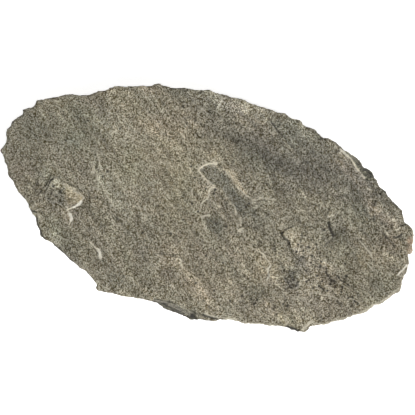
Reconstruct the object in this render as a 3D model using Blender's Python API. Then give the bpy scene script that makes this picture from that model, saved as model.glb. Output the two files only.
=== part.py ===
"""Quartzite flagstone: one split slab with a hammer-trimmed rim.

Metres, +Z up. X runs along the slab's length and Z = 0 is the face it rests on. The slab is one solid: a
cleft upper face with the ledges of its broken beds, a trimmed rim whose beds stand in and out, and a
cleft underside with a broad flat middle. Plan sizes and heights in the tables are millimetres.
"""

import math
import random
from collections import namedtuple

import bmesh
import bpy
import numpy as np
from mathutils import Vector, noise
from mathutils.geometry import delaunay_2d_cdt

NAME = "quartzite_slab"
MM = 0.001

# Driving dimensions.
LENGTH = 0.480  # tip to tip along X
THICKNESS = 0.030  # from the face it rests on to the highest swell

# How finely each face is divided.
RIM_STEP = 6.5  # longest rim edge
LEDGE_STEP = 5.5  # longest edge along a ledge
UPPER_STEP = 7.6  # spacing over the upper face
UNDER_STEP = 15.0  # spacing over the underside's flaked margin
REST_STEP = 14.0  # longest edge around the flat that the slab rests on
RIM_MARGIN = 3.2  # loose points keep this far from the rim
LEDGE_MARGIN = 3.4  # and this far from a ledge
LEDGE_END_MARGIN = 1.6  # a ledge's line stops this far short of the rim
UNDER_MARGIN = 6.0  # the same for loose points on the underside
ROW_SHARE = 0.87  # spacing of rows against the spacing along them, for nearly even triangles
ROW_JITTER = 0.3  # how far a loose point strays, as a share of the spacing
WELD = 1e-5  # points closer than this are one

# The rim seen from above, clockwise from the west tip: the corners between the hammer's scallops.
NORTH_WEST_RIM = [
    (-239, -9), (-235, 1), (-239, 12), (-236, 26), (-226, 39), (-228, 42), (-220, 47), (-217, 50),
    (-217, 54), (-215, 58), (-205, 63), (-191, 70), (-188, 73), (-183, 74), (-176, 76), (-166, 79),
    (-160, 82), (-154, 88), (-145, 92), (-138, 99), (-132, 100), (-126, 101), (-111, 108), (-102, 110),
    (-92, 116), (-87, 116), (-80, 117), (-73, 117), (-55, 122), (-50, 122), (-42, 125), (-31, 127),
    (-22, 125), (-13, 127), (-8, 126),
]
NORTH_EAST_RIM = [
    (8, 128), (13, 126), (32, 126), (47, 126), (56, 127), (58, 125), (65, 123), (73, 124),
    (81, 120), (93, 119), (99, 118), (102, 115), (105, 113), (118, 113), (128, 109), (141, 105),
    (152, 101), (160, 94), (166, 92), (171, 93), (173, 89), (177, 85), (185, 79), (192, 77),
    (194, 73), (207, 66), (215, 62), (216, 56), (220, 51), (231, 46), (233, 44), (237, 34),
    (239, 23), (238, 20), (235, 19), (237, 12), (239, 7),
]
SOUTH_EAST_RIM = [
    (238, -5), (239, -10), (238, -16), (239, -21), (238, -27), (233, -31), (231, -36), (226, -41),
    (225, -44), (219, -48), (216, -50), (207, -62), (197, -67), (188, -76), (178, -80), (174, -85),
    (163, -89), (154, -94), (150, -102), (142, -104), (125, -103), (113, -106), (96, -110), (82, -113),
    (71, -112), (61, -115), (48, -122),
]
SOUTH_WEST_RIM = [
    (37, -123), (25, -127), (9, -126), (-10, -122), (-18, -121), (-30, -121), (-36, -121), (-45, -123),
    (-56, -125), (-71, -126), (-87, -128), (-90, -125), (-90, -122), (-98, -115), (-104, -111), (-114, -108),
    (-123, -105), (-132, -101), (-138, -97), (-151, -92), (-162, -90), (-166, -86), (-175, -76), (-177, -71),
    (-181, -68), (-185, -66), (-190, -59), (-193, -55), (-199, -52), (-206, -48), (-212, -41), (-222, -34),
    (-226, -24), (-231, -19), (-235, -13),
]
RIM = NORTH_WEST_RIM + NORTH_EAST_RIM + SOUTH_EAST_RIM + SOUTH_WEST_RIM

# A ledge is a crest line with its high side on the left. The high side stands up by rise, dying away over
# back; the low side drops, dying away over front. The riser between the two is this wide.
Ledge = namedtuple("Ledge", "crest rise back drop front riser")
FAR = 1e6  # a front that never dies away: the low side stays down as far as the rim
END_TAPER = 12.0  # a step closes over this length at each end of its crest

LEDGES = [
    # west flake, open to the south-west
    Ledge(
        [
            (-140, -66), (-140, -58), (-146, -51), (-137, -42), (-135, -27),
            (-156, -23), (-174, -20), (-178, -36), (-183, -49),
        ],
        2.6, 46, 0.4, 12, 1.2,
    ),
    # long low step east of the flake
    Ledge(
        [(-136, 26), (-128, 12), (-129, -5), (-115, -14), (-104, -26), (-97, -42), (-98, -56)],
        1.5, 34, 0.0, 10, 1.4,
    ),
    # chip near the south-west rim
    Ledge([(-95, -91), (-98, -84), (-107, -80), (-113, -76)], 0.3, 14, 1.0, 16, 1.2),
    # west bank of the middle hollow, then the west bank of the groove that leaves it
    Ledge(
        [(-5, 1), (-1, 8), (-1, 17), (4, 25), (-5, 29), (-17, 35), (-18, 39), (-9, 48), (-1, 51), (7, 50)],
        0.9, 30, 1.9, 26, 1.2,
    ),
    Ledge([(43, -17), (44, -9), (45, -4), (35, 6), (29, 14)], 0.5, 22, 1.3, 22, 1.4),
    # east bank of the groove and the tread that turns off it
    Ledge([(6, 49), (16, 41), (24, 37), (36, 29), (47, 24), (52, 17), (60, 10)], 1.6, 34, 1.0, 24, 1.6),
    Ledge([(47, 24), (57, 28), (75, 33)], 1.0, 20, 0.4, 18, 1.2),
    # north-east lamina, broken off toward the rim
    Ledge([(78, 88), (66, 97), (52, 103), (40, 115), (42, 121), (47, 127)], 0.8, 40, 1.9, 60, 1.3),
    # sloping spalls along the north-east rim
    Ledge([(168, 80), (155, 91), (146, 97), (139, 102), (132, 104), (124, 108)], 0.6, 16, 13.0, FAR, 8.0),
    Ledge([(101, 110), (96, 113), (91, 118)], 0.0, 10, 6.0, FAR, 3.5),
    # east plate: its west corner and its east edge
    Ledge([(97, 6), (93, -4), (99, -7), (106, -11), (109, -20)], 1.7, 36, 0.3, 14, 1.3),
    Ledge([(145, 3), (149, 10), (147, 15), (140, 26)], 0.9, 24, 1.2, 18, 1.0),
    # step that runs down from the plate toward the east rim
    Ledge([(173, 17), (184, 14), (191, 9), (198, 3)], 1.0, 22, 0.3, 14, 1.2),
    # pocket beside the east tip
    Ledge([(223, 15), (216, 24), (208, 29), (200, 33)], 0.9, 20, 1.4, 18, 1.2),
    Ledge([(213, 31), (224, 38)], 0.8, 10, 0.8, 9, 1.0),
    # south shelf, its corner to the north-east
    Ledge(
        [(8, -84), (-3, -76), (-7, -70), (-8, -64), (-20, -67), (-31, -66), (-47, -66)],
        1.2, 30, 0.9, 26, 1.2,
    ),
    # forked step in the middle of the south half
    Ledge([(70, -29), (80, -31), (88, -38), (93, -41), (91, -48), (95, -62)], 0.9, 26, 0.5, 18, 1.1),
    # short treads toward the south-east rim
    Ledge([(118, -55), (113, -65)], 0.8, 16, 0.5, 12, 1.0),
    Ledge([(170, -54), (183, -61)], 0.9, 18, 0.6, 14, 1.0),
    Ledge([(128, -70), (140, -82)], 0.8, 20, 0.7, 16, 1.2),
    # spalls in the south rim: a deep sloping one, thin broken beds beside it and a gap under the south tip
    Ledge([(-27, -119), (-18, -116), (-4, -115), (8, -116), (20, -117), (31, -119)], 0.4, 18, 16.0, FAR, 7.5),
    Ledge([(30, -117), (44, -117), (60, -113)], 0.0, 10, 6.0, FAR, 1.6),
    Ledge([(119, -101), (131, -101), (143, -102)], 0.3, 14, 3.0, FAR, 2.0),
]

# Cleft roughness over the upper face: wavelength, height and seed, broad first.
CLEFT_ROUGHNESS = [(46.0, 0.55, 3.7), (15.0, 0.22, 8.2)]

# Soft swells and dips of the upper face: centre, radius and height.
Swell = namedtuple("Swell", "x y radius height")
SWELLS = [
    Swell(-95, 75, 60, 1.2),
    Swell(-150, 55, 34, -1.4),
    Swell(-205, 20, 45, -0.9),
    Swell(32, 102, 48, 1.5),
    Swell(-20, 30, 44, 0.8),
    Swell(-75, -35, 26, -1.5),
    Swell(-112, -62, 30, 0.8),
    Swell(-60, -100, 30, -1.0),
    Swell(60, -90, 34, 1.0),
    Swell(120, -60, 32, -1.1),
    Swell(165, -45, 30, -0.9),
    Swell(185, -30, 40, 1.0),
    Swell(110, 40, 40, 0.9),
]
# A shallow trough crosses the upper face from the north rim to the east tip.
TROUGH = [(-84, 120), (-21, 95), (40, 79), (71, 69), (123, 63), (173, 58), (215, 32)]
TROUGH_DEPTH = 1.8
TROUGH_HALF_WIDTH = 19.0

# The rim's upper arris is knocked back over this width, by up to this much.
ARRIS_WIDTH = 4.5
ARRIS_DROP = 2.0
ARRIS_WAVE = 11.0  # the knocks come and go over about this length

# Beds seen in the rim, from the top down: share of the rim's height, how far in the broken wall stands
# there, and how much further it steps in under a lip where a bed has broken short.
Bed = namedtuple("Bed", "share inset lip")
BEDS = [
    Bed(0.90, 0.6, 0.0),
    Bed(0.76, 0.8, 0.0),
    Bed(0.69, 1.3, 2.2),
    Bed(0.48, 2.2, 0.6),
    Bed(0.41, 2.6, 2.6),
    Bed(0.19, 3.6, 0.8),
    Bed(0.09, 5.0, 0.0),
]
BED_DIP = 0.09  # how far the beds rise and fall together along the rim, as a share of its height
BED_WANDER = 0.025  # how far each wanders from the others
SPALL_SLANT = 2.2  # how far the corners of the broken wall lean along the rim, either way

# The flat that the slab rests on, clockwise from the west, and the flakes lost around it.
REST_FACE = [
    (-208, -8), (-204, 20), (-190, 40), (-160, 47), (-132, 44), (-124, 64), (-108, 86), (-66, 101),
    (-40, 88), (-20, 100), (24, 108), (74, 102), (90, 84), (106, 80), (126, 88), (156, 72),
    (178, 56), (188, 36), (212, 20), (216, -8), (204, -28), (180, -38), (164, -62), (134, -82),
    (104, -70), (84, -76), (62, -98), (20, -106), (-14, -100), (-30, -80), (-58, -84), (-84, -104),
    (-116, -86), (-146, -76), (-160, -58), (-186, -44),
]
FLAKE_STEP = 1.1  # height of the broken edge around the flat
FLAKE_RISE = 0.07  # slope from there out to the rim
FLAKE_RISER = 1.2
FLAKE_ROUGH = 0.25  # height of the roughness on the flaked margin
FLAKE_WAVE = 13.0  # and its wavelength

COLOUR = (0.223, 0.203, 0.158, 1.0)
ROUGHNESS = 0.88


def smooth(share):
    """0 to 1 with level ends, for shares held between 0 and 1."""
    share = np.clip(share, 0.0, 1.0)
    return share * share * (3.0 - 2.0 * share)


def ripple(points, wavelength, seed):
    """Blender's own noise over the plan, about -1 to 1."""
    return np.array([
        noise.fractal(Vector((x / wavelength, y / wavelength, seed)), 0.8, 2.1, 3)
        for x, y in points
    ])


def measure_to_line(points, line, closed=False):
    """Distance from each point to a line, the side it is on (positive on the left) and its share along it."""
    corners = np.array(line + line[:1] if closed else line, float)
    lengths = np.linalg.norm(np.diff(corners, axis=0), axis=1)
    start = np.concatenate([[0.0], np.cumsum(lengths)[:-1]])
    nearest = np.full(len(points), np.inf)
    side = np.zeros(len(points))
    share = np.zeros(len(points))
    for a, b, length, run in zip(corners[:-1], corners[1:], lengths, start):
        along = (b - a) / length
        offset = points - a
        reach = np.clip(offset @ along, 0.0, length)
        gap = np.linalg.norm(offset - reach[:, None] * along, axis=1)
        closer = gap < nearest
        turn = along[0] * offset[:, 1] - along[1] * offset[:, 0]
        nearest[closer] = gap[closer]
        side[closer] = np.sign(turn[closer])
        share[closer] = (run + reach[closer]) / lengths.sum()
    return nearest, side, share


def inside(points, outline):
    """Whether each point lies within a closed outline."""
    within = np.zeros(len(points), bool)
    x, y = points[:, 0], points[:, 1]
    for (ax, ay), (bx, by) in zip(outline, outline[1:] + outline[:1]):
        if ay == by:
            continue
        crosses = ((ay > y) != (by > y)) & (x < ax + (y - ay) * (bx - ax) / (by - ay))
        within ^= crosses
    return within


def divide(line, step, wander=0.0, seed=0, closed=False):
    """The line with points added so that no edge is longer than step, each wandering a little off it."""
    chance = random.Random(seed)
    corners = line + line[:1] if closed else line
    result = []
    for (ax, ay), (bx, by) in zip(corners, corners[1:]):
        length = math.hypot(bx - ax, by - ay)
        pieces = max(1, math.ceil(length / step))
        for i in range(pieces):
            share = i / pieces
            off = chance.uniform(-wander, wander) if i else 0.0
            result.append((
                ax + (bx - ax) * share - (by - ay) / length * off,
                ay + (by - ay) * share + (bx - ax) / length * off,
            ))
    return result if closed else result + [line[-1]]


def beside(line, distance):
    """A line kept at a distance to the right of another, whose points are taken one for one."""
    points = np.array(line, float)
    along = np.gradient(points, axis=0)
    along /= np.linalg.norm(along, axis=1)[:, None]
    right = np.stack([along[:, 1], -along[:, 0]], axis=1)
    return [tuple(p) for p in points + right * distance]


def ledge_height(points, ledge):
    distance, side, share = measure_to_line(points, ledge.crest)
    length = sum(math.dist(a, b) for a, b in zip(ledge.crest, ledge.crest[1:]))
    ends = smooth(np.minimum(share, 1.0 - share) * length / END_TAPER + 0.2)
    high = ledge.rise * (1.0 - smooth(distance / ledge.back))
    low = -ledge.drop * (1.0 - smooth((distance - ledge.riser) / ledge.front))
    down = np.clip(distance / ledge.riser, 0.0, 1.0)
    across = ledge.rise + (low - ledge.rise) * down
    # Past the ends of the crest the two sides meet, and the step closes.
    corners = np.array(ledge.crest, float)
    past = np.minimum(
        np.linalg.norm(points - corners[0], axis=1),
        np.linalg.norm(points - corners[-1], axis=1),
    ) <= distance + 1e-6
    closing = np.where(past, 1.0 - smooth(distance / END_TAPER), 1.0)
    return np.where(side >= 0.0, high, across) * ends * closing


def upper_height(points, rim):
    """Height of the upper face before it is set to the slab's thickness."""
    height = sum(size * ripple(points, wavelength, seed) for wavelength, size, seed in CLEFT_ROUGHNESS)
    for swell in SWELLS:
        distance = np.hypot(points[:, 0] - swell.x, points[:, 1] - swell.y)
        height += swell.height * (1.0 - smooth(distance / swell.radius))
    distance, _, _ = measure_to_line(points, TROUGH)
    height -= TROUGH_DEPTH * (1.0 - smooth(distance / TROUGH_HALF_WIDTH))
    for ledge in LEDGES:
        height += ledge_height(points, ledge)
    distance, _, _ = measure_to_line(points, rim, closed=True)
    knocked = 0.6 + 0.4 * ripple(points, ARRIS_WAVE, 5.1)
    height -= ARRIS_DROP * knocked * (1.0 - smooth(distance / ARRIS_WIDTH))
    return height


def under_height(points, _rim):
    """Height of the underside: level within the rest face, stepped and sloping up outside it."""
    distance, _, _ = measure_to_line(points, REST_FACE, closed=True)
    step = FLAKE_STEP * np.clip(distance / FLAKE_RISER, 0.0, 1.0)
    slope = FLAKE_RISE * np.maximum(distance - FLAKE_RISER, 0.0)
    rough = FLAKE_ROUGH * ripple(points, FLAKE_WAVE, 2.4) * smooth(distance / UNDER_MARGIN)
    outside = ~inside(points, REST_FACE) & (distance > 1e-3)
    return np.where(outside, step + slope + rough, 0.0)


def inward(rim):
    """Unit directions from the rim into the slab, steadied over the neighbouring points."""
    points = np.array(rim)
    along = np.roll(points, -1, axis=0) - np.roll(points, 1, axis=0)
    across = np.stack([along[:, 1], -along[:, 0]], axis=1)
    spread = 4
    steady = sum(np.roll(across, shift, axis=0) for shift in range(-spread, spread + 1))
    return steady / np.linalg.norm(steady, axis=1)[:, None]


def ring(mesh, plan, heights):
    """A closed ring of vertices in the mesh."""
    return [mesh.verts.new((x * MM, y * MM, z * MM)) for (x, y), z in zip(plan, heights)]


def skin(mesh, above, below, chance):
    """Joins two rings, point for point, with triangles that look outwards and split either way."""
    count = len(above)
    for i in range(count):
        j = (i + 1) % count
        if chance.random() < 0.5:
            mesh.faces.new((above[i], above[j], below[j]))
            mesh.faces.new((above[i], below[j], below[i]))
        else:
            mesh.faces.new((above[i], above[j], below[i]))
            mesh.faces.new((above[j], below[j], below[i]))


def scatter(outline, step, keep_off, seed):
    """Points spread over an outline, about a step apart and clear of the lines that are kept off."""
    chance = random.Random(seed)
    low = np.min(outline, axis=0)
    high = np.max(outline, axis=0)
    rows = int((high[1] - low[1]) / (step * ROW_SHARE)) + 2
    columns = int((high[0] - low[0]) / step) + 2
    points = np.array([
        (
            low[0] + (column + 0.5 * (row % 2) + chance.uniform(-ROW_JITTER, ROW_JITTER)) * step,
            low[1] + (row + chance.uniform(-ROW_JITTER, ROW_JITTER)) * step * ROW_SHARE,
        )
        for row in range(rows)
        for column in range(columns)
    ])
    points = points[inside(points, outline)]
    for line, clearance, closed in keep_off:
        distance, _, _ = measure_to_line(points, line, closed)
        points = points[distance > clearance]
    return [tuple(p) for p in points]


def runs_within(line, rim, clearance):
    """The stretches of a line that stay inside the rim by a clearance."""
    points = np.array(line, float)
    distance, _, _ = measure_to_line(points, rim, closed=True)
    kept = inside(points, rim) & (distance > clearance)
    runs, run = [], []
    for point, keep in zip(line, kept):
        if keep:
            run.append(point)
        elif run:
            runs.append(run)
            run = []
    runs.append(run)
    return [run for run in runs if len(run) > 1]


def fill(mesh, edge, lines, loops, loose, height, lift, faces_up):
    """Triangulates the area within an edge ring, keeping lines and loops as edges, and lifts it."""
    plan = [(v.co.x / MM, v.co.y / MM) for v in edge]
    count = len(plan)
    edges = [(i, (i + 1) % count) for i in range(count)]
    points = list(plan)
    for line in lines:
        edges += [(len(points) + i, len(points) + i + 1) for i in range(len(line) - 1)]
        points += line
    for loop in loops:
        edges += [(len(points) + i, len(points) + (i + 1) % len(loop)) for i in range(len(loop))]
        points += loop
    points += loose
    outer = [list(range(count))]
    places, _, triangles, sources, _, _ = delaunay_2d_cdt(
        [Vector(p) for p in points], edges, outer, 1, WELD
    )
    heights = height(np.array([tuple(p) for p in places]), plan) + lift
    corners = []
    for place, z, source in zip(places, heights, sources):
        on_edge = [i for i in source if i < count]
        if on_edge:
            corners.append(edge[on_edge[0]])
        else:
            corners.append(mesh.verts.new((place.x * MM, place.y * MM, z * MM)))
    for triangle in triangles:
        order = [corners[i] for i in triangle]
        mesh.faces.new(order if faces_up else order[::-1])


def broken_wall(mesh, rim, top):
    """The rim's wall, bed below bed from the upper rim down; returns its first ring and its last."""
    shape = np.array(rim)
    into = inward(rim)
    along = np.stack([into[:, 1], -into[:, 0]], axis=1)
    dip = BED_DIP * ripple(shape, 85.0, 50.0)
    chance = random.Random(7)
    rings = [ring(mesh, rim, top)]
    for number, bed in enumerate(BEDS):
        ragged = 1.0 + 1.3 * ripple(shape, 27.0, 20.0 + number) + 0.9 * ripple(shape, 9.0, 30.0 + number)
        broken_short = np.clip(0.4 + 2.2 * ripple(shape, 38.0, 40.0 + number // 2), 0.0, 1.0)
        inset = bed.inset * np.clip(ragged, 0.1, 2.2) + bed.lip * broken_short
        slant = np.array([chance.uniform(-SPALL_SLANT, SPALL_SLANT) for _ in rim])
        plan = shape + into * inset[:, None] + along * slant[:, None]
        bend = 4.0 * bed.share * (1.0 - bed.share)
        wander = BED_WANDER * ripple(shape, 12.0, 60.0 + number)
        rings.append(ring(mesh, plan, top * (bed.share + dip * bend + wander)))
    for above, below in zip(rings, rings[1:]):
        skin(mesh, above, below, chance)
    return rings[0], rings[-1]


def upper_face(mesh, rim, lift, edge):
    """The cleft upper face, with an edge along the crest and the toe of every ledge."""
    crests = [divide(ledge.crest, LEDGE_STEP, 0.7, seed) for seed, ledge in enumerate(LEDGES)]
    toes = [beside(crest, ledge.riser) for crest, ledge in zip(crests, LEDGES)]
    lines = [run for line in crests + toes for run in runs_within(line, rim, LEDGE_END_MARGIN)]
    keep_off = [(rim, RIM_MARGIN, True)] + [(line, LEDGE_MARGIN, False) for line in lines]
    loose = scatter(rim, UPPER_STEP, keep_off, seed=11)
    fill(mesh, edge, lines, [], loose, upper_height, lift, faces_up=True)


def underside(mesh, edge):
    """The flat that the slab rests on, with flakes lost between it and the rim."""
    foot = [(v.co.x / MM, v.co.y / MM) for v in edge]
    flat = divide(REST_FACE, REST_STEP, closed=True)
    toe = beside(flat + flat[:1], -FLAKE_RISER)[:-1]
    keep_off = [(foot, UNDER_MARGIN, True), (flat, UNDER_MARGIN, True)]
    loose = np.array(scatter(foot, UNDER_STEP, keep_off, seed=12))
    loose = loose[~inside(loose, REST_FACE)]
    fill(mesh, edge, [], [flat, toe], [tuple(p) for p in loose], under_height, 0.0, faces_up=False)


def slab_mesh():
    rim = divide(RIM, RIM_STEP, wander=0.5, seed=4, closed=True)
    samples = np.array(scatter(rim, UPPER_STEP / 2.0, [(rim, ARRIS_WIDTH, True)], seed=1))
    lift = THICKNESS / MM - upper_height(samples, rim).max()
    mesh = bmesh.new()
    upper_edge, lower_edge = broken_wall(mesh, rim, upper_height(np.array(rim), rim) + lift)
    upper_face(mesh, rim, lift, upper_edge)
    underside(mesh, lower_edge)
    return mesh


def stone_material():
    material = bpy.data.materials.new("quartzite")
    material.use_nodes = True
    shader = material.node_tree.nodes["Principled BSDF"]
    shader.inputs["Base Color"].default_value = COLOUR
    shader.inputs["Roughness"].default_value = ROUGHNESS
    shader.inputs["Metallic"].default_value = 0.0
    return material


def settle(mesh):
    """Centres the slab's box on the origin and sets its length and thickness exactly."""
    corners = np.array([vertex.co for vertex in mesh.verts])
    low, high = corners.min(axis=0), corners.max(axis=0)
    middle = (low + high) / 2.0
    spread = LENGTH / (high[0] - low[0])
    tall = THICKNESS / high[2]
    for vertex in mesh.verts:
        vertex.co.x = (vertex.co.x - middle[0]) * spread
        vertex.co.y = (vertex.co.y - middle[1]) * spread
        vertex.co.z *= tall


def main():
    for leftover in list(bpy.data.objects):
        bpy.data.objects.remove(leftover, do_unlink=True)
    collection = bpy.data.collections.new(NAME)
    bpy.context.scene.collection.children.link(collection)
    mesh = slab_mesh()
    settle(mesh)
    data = bpy.data.meshes.new(NAME)
    mesh.to_mesh(data)
    mesh.free()
    data.materials.append(stone_material())
    collection.objects.link(bpy.data.objects.new(NAME, data))


main()
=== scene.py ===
import math
from collections import namedtuple

import bmesh
import bpy
import numpy as np
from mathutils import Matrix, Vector, noise
from mathutils.bvhtree import BVHTree


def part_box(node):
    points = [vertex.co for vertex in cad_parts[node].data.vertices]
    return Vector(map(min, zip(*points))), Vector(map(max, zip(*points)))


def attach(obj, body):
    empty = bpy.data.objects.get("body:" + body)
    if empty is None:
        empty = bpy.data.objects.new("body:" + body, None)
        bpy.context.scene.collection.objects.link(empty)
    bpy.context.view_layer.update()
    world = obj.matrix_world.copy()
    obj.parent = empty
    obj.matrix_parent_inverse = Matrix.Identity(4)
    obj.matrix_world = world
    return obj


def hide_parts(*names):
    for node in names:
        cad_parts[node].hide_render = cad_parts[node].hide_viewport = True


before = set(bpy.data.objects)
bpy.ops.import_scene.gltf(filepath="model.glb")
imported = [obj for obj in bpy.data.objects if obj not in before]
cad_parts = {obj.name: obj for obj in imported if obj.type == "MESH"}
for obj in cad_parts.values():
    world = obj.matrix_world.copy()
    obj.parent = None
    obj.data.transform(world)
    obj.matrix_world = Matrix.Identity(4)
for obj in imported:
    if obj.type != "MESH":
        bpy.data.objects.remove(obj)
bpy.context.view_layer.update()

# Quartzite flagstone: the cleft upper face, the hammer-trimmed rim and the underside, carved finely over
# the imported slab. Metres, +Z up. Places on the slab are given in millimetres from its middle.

SLAB = "quartzite_slab"
MM = 0.001
GRAIN_TURN = math.radians(-31.0)  # the stone's lineation runs this way across the slab
TURN = math.radians(17.5)  # how far the plan and the camera are turned from the slab's own axes

# The skin's regions, and how finely each is carved: the longest edge, in millimetres.
UPPER, WALL, UNDER = 0, 1, 2
LONGEST = (2.6, 3.3, 6.6)
FINE_STEP = 1.75  # on the upper face beside ledges and the rim
COARSER = 0.035  # how much longer an edge may be for each millimetre away from them
LOOSENESS = (3.0, 2.0, 1.5, 1.2, 1.0, 1.0)  # the longest edges are cut first

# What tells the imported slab's faces apart.
WELD = 1e-6
LOOKS_UP = 0.1  # the least upward part of an upper face's normal
SPALL_TILT = 0.72  # a spall's face is steeper than this
UNDER_TILT = -0.75  # the underside's faces are flatter than this
UNDER_HEIGHT = 5.0  # and lower
LEDGE_BEND = math.radians(22.0)  # an edge bent more than this is a ledge

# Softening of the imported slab's flat facets.
RELAX_ROUNDS = 9
RELAX = 0.5  # share of the way to its neighbours' mean that a point moves in a round
LINE_RELAX = 0.35  # the same for a ledge or the rim, every third round

# Wear on the arris between the upper face and the wall.
ARRIS_ROUNDS = 3  # how many steps away from the arris it reaches
ARRIS_DROP = 1.3
ARRIS_SPREAD = 1.2
ARRIS_MOST = 3.0
ARRIS_WAVE = 14.0
SHADE_ROUNDS = 6  # how many steps away from it hollows are shaded in full

SPALL_FOOT = 12.0  # a spall's foot stands out below this height
SPALL_FADE = 8.0  # and fades out over this distance
SPALL_TAPER = 8.0  # it also fades out over the last eighth of its length at each end
SPALL_BLEND = 6.0  # its lighter tone fades out over this distance
TOP_EASE = 6.0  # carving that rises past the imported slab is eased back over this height

# Plain plates are smoother than the stone around them, and their grain is calmer.
PLAIN_SMOOTH = 1.5
PLAIN_CALM = 2.2

# The noise that roughens edges and bends soft areas: fall-off, step between layers, number of layers.
ROUGHNESS = (0.8, 2.1, 3)
ARRIS_SEED = 210.0
PLATE_SEED = 160.0
PATCH_SEEDS = (120.0, 130.0)


# ---- the slab's own marks ----------------------------------------------------------------------------

# Lines, plates and pits are laid out on a plan of the slab from straight above, turned by TURN: so many
# steps to the right and so many down from the plan's corner. Widths and rises are in millimetres.
PLAN_STEP = 480.0 / 424.0  # millimetres to a step: the slab is 424 steps long
PLAN_MIDDLE = (208.0, 207.0)  # from the plan's corner to its middle, in steps
PLAN_SHIFT = (3.7, -0.2)  # from the slab's middle to the plan's, in millimetres

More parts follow.
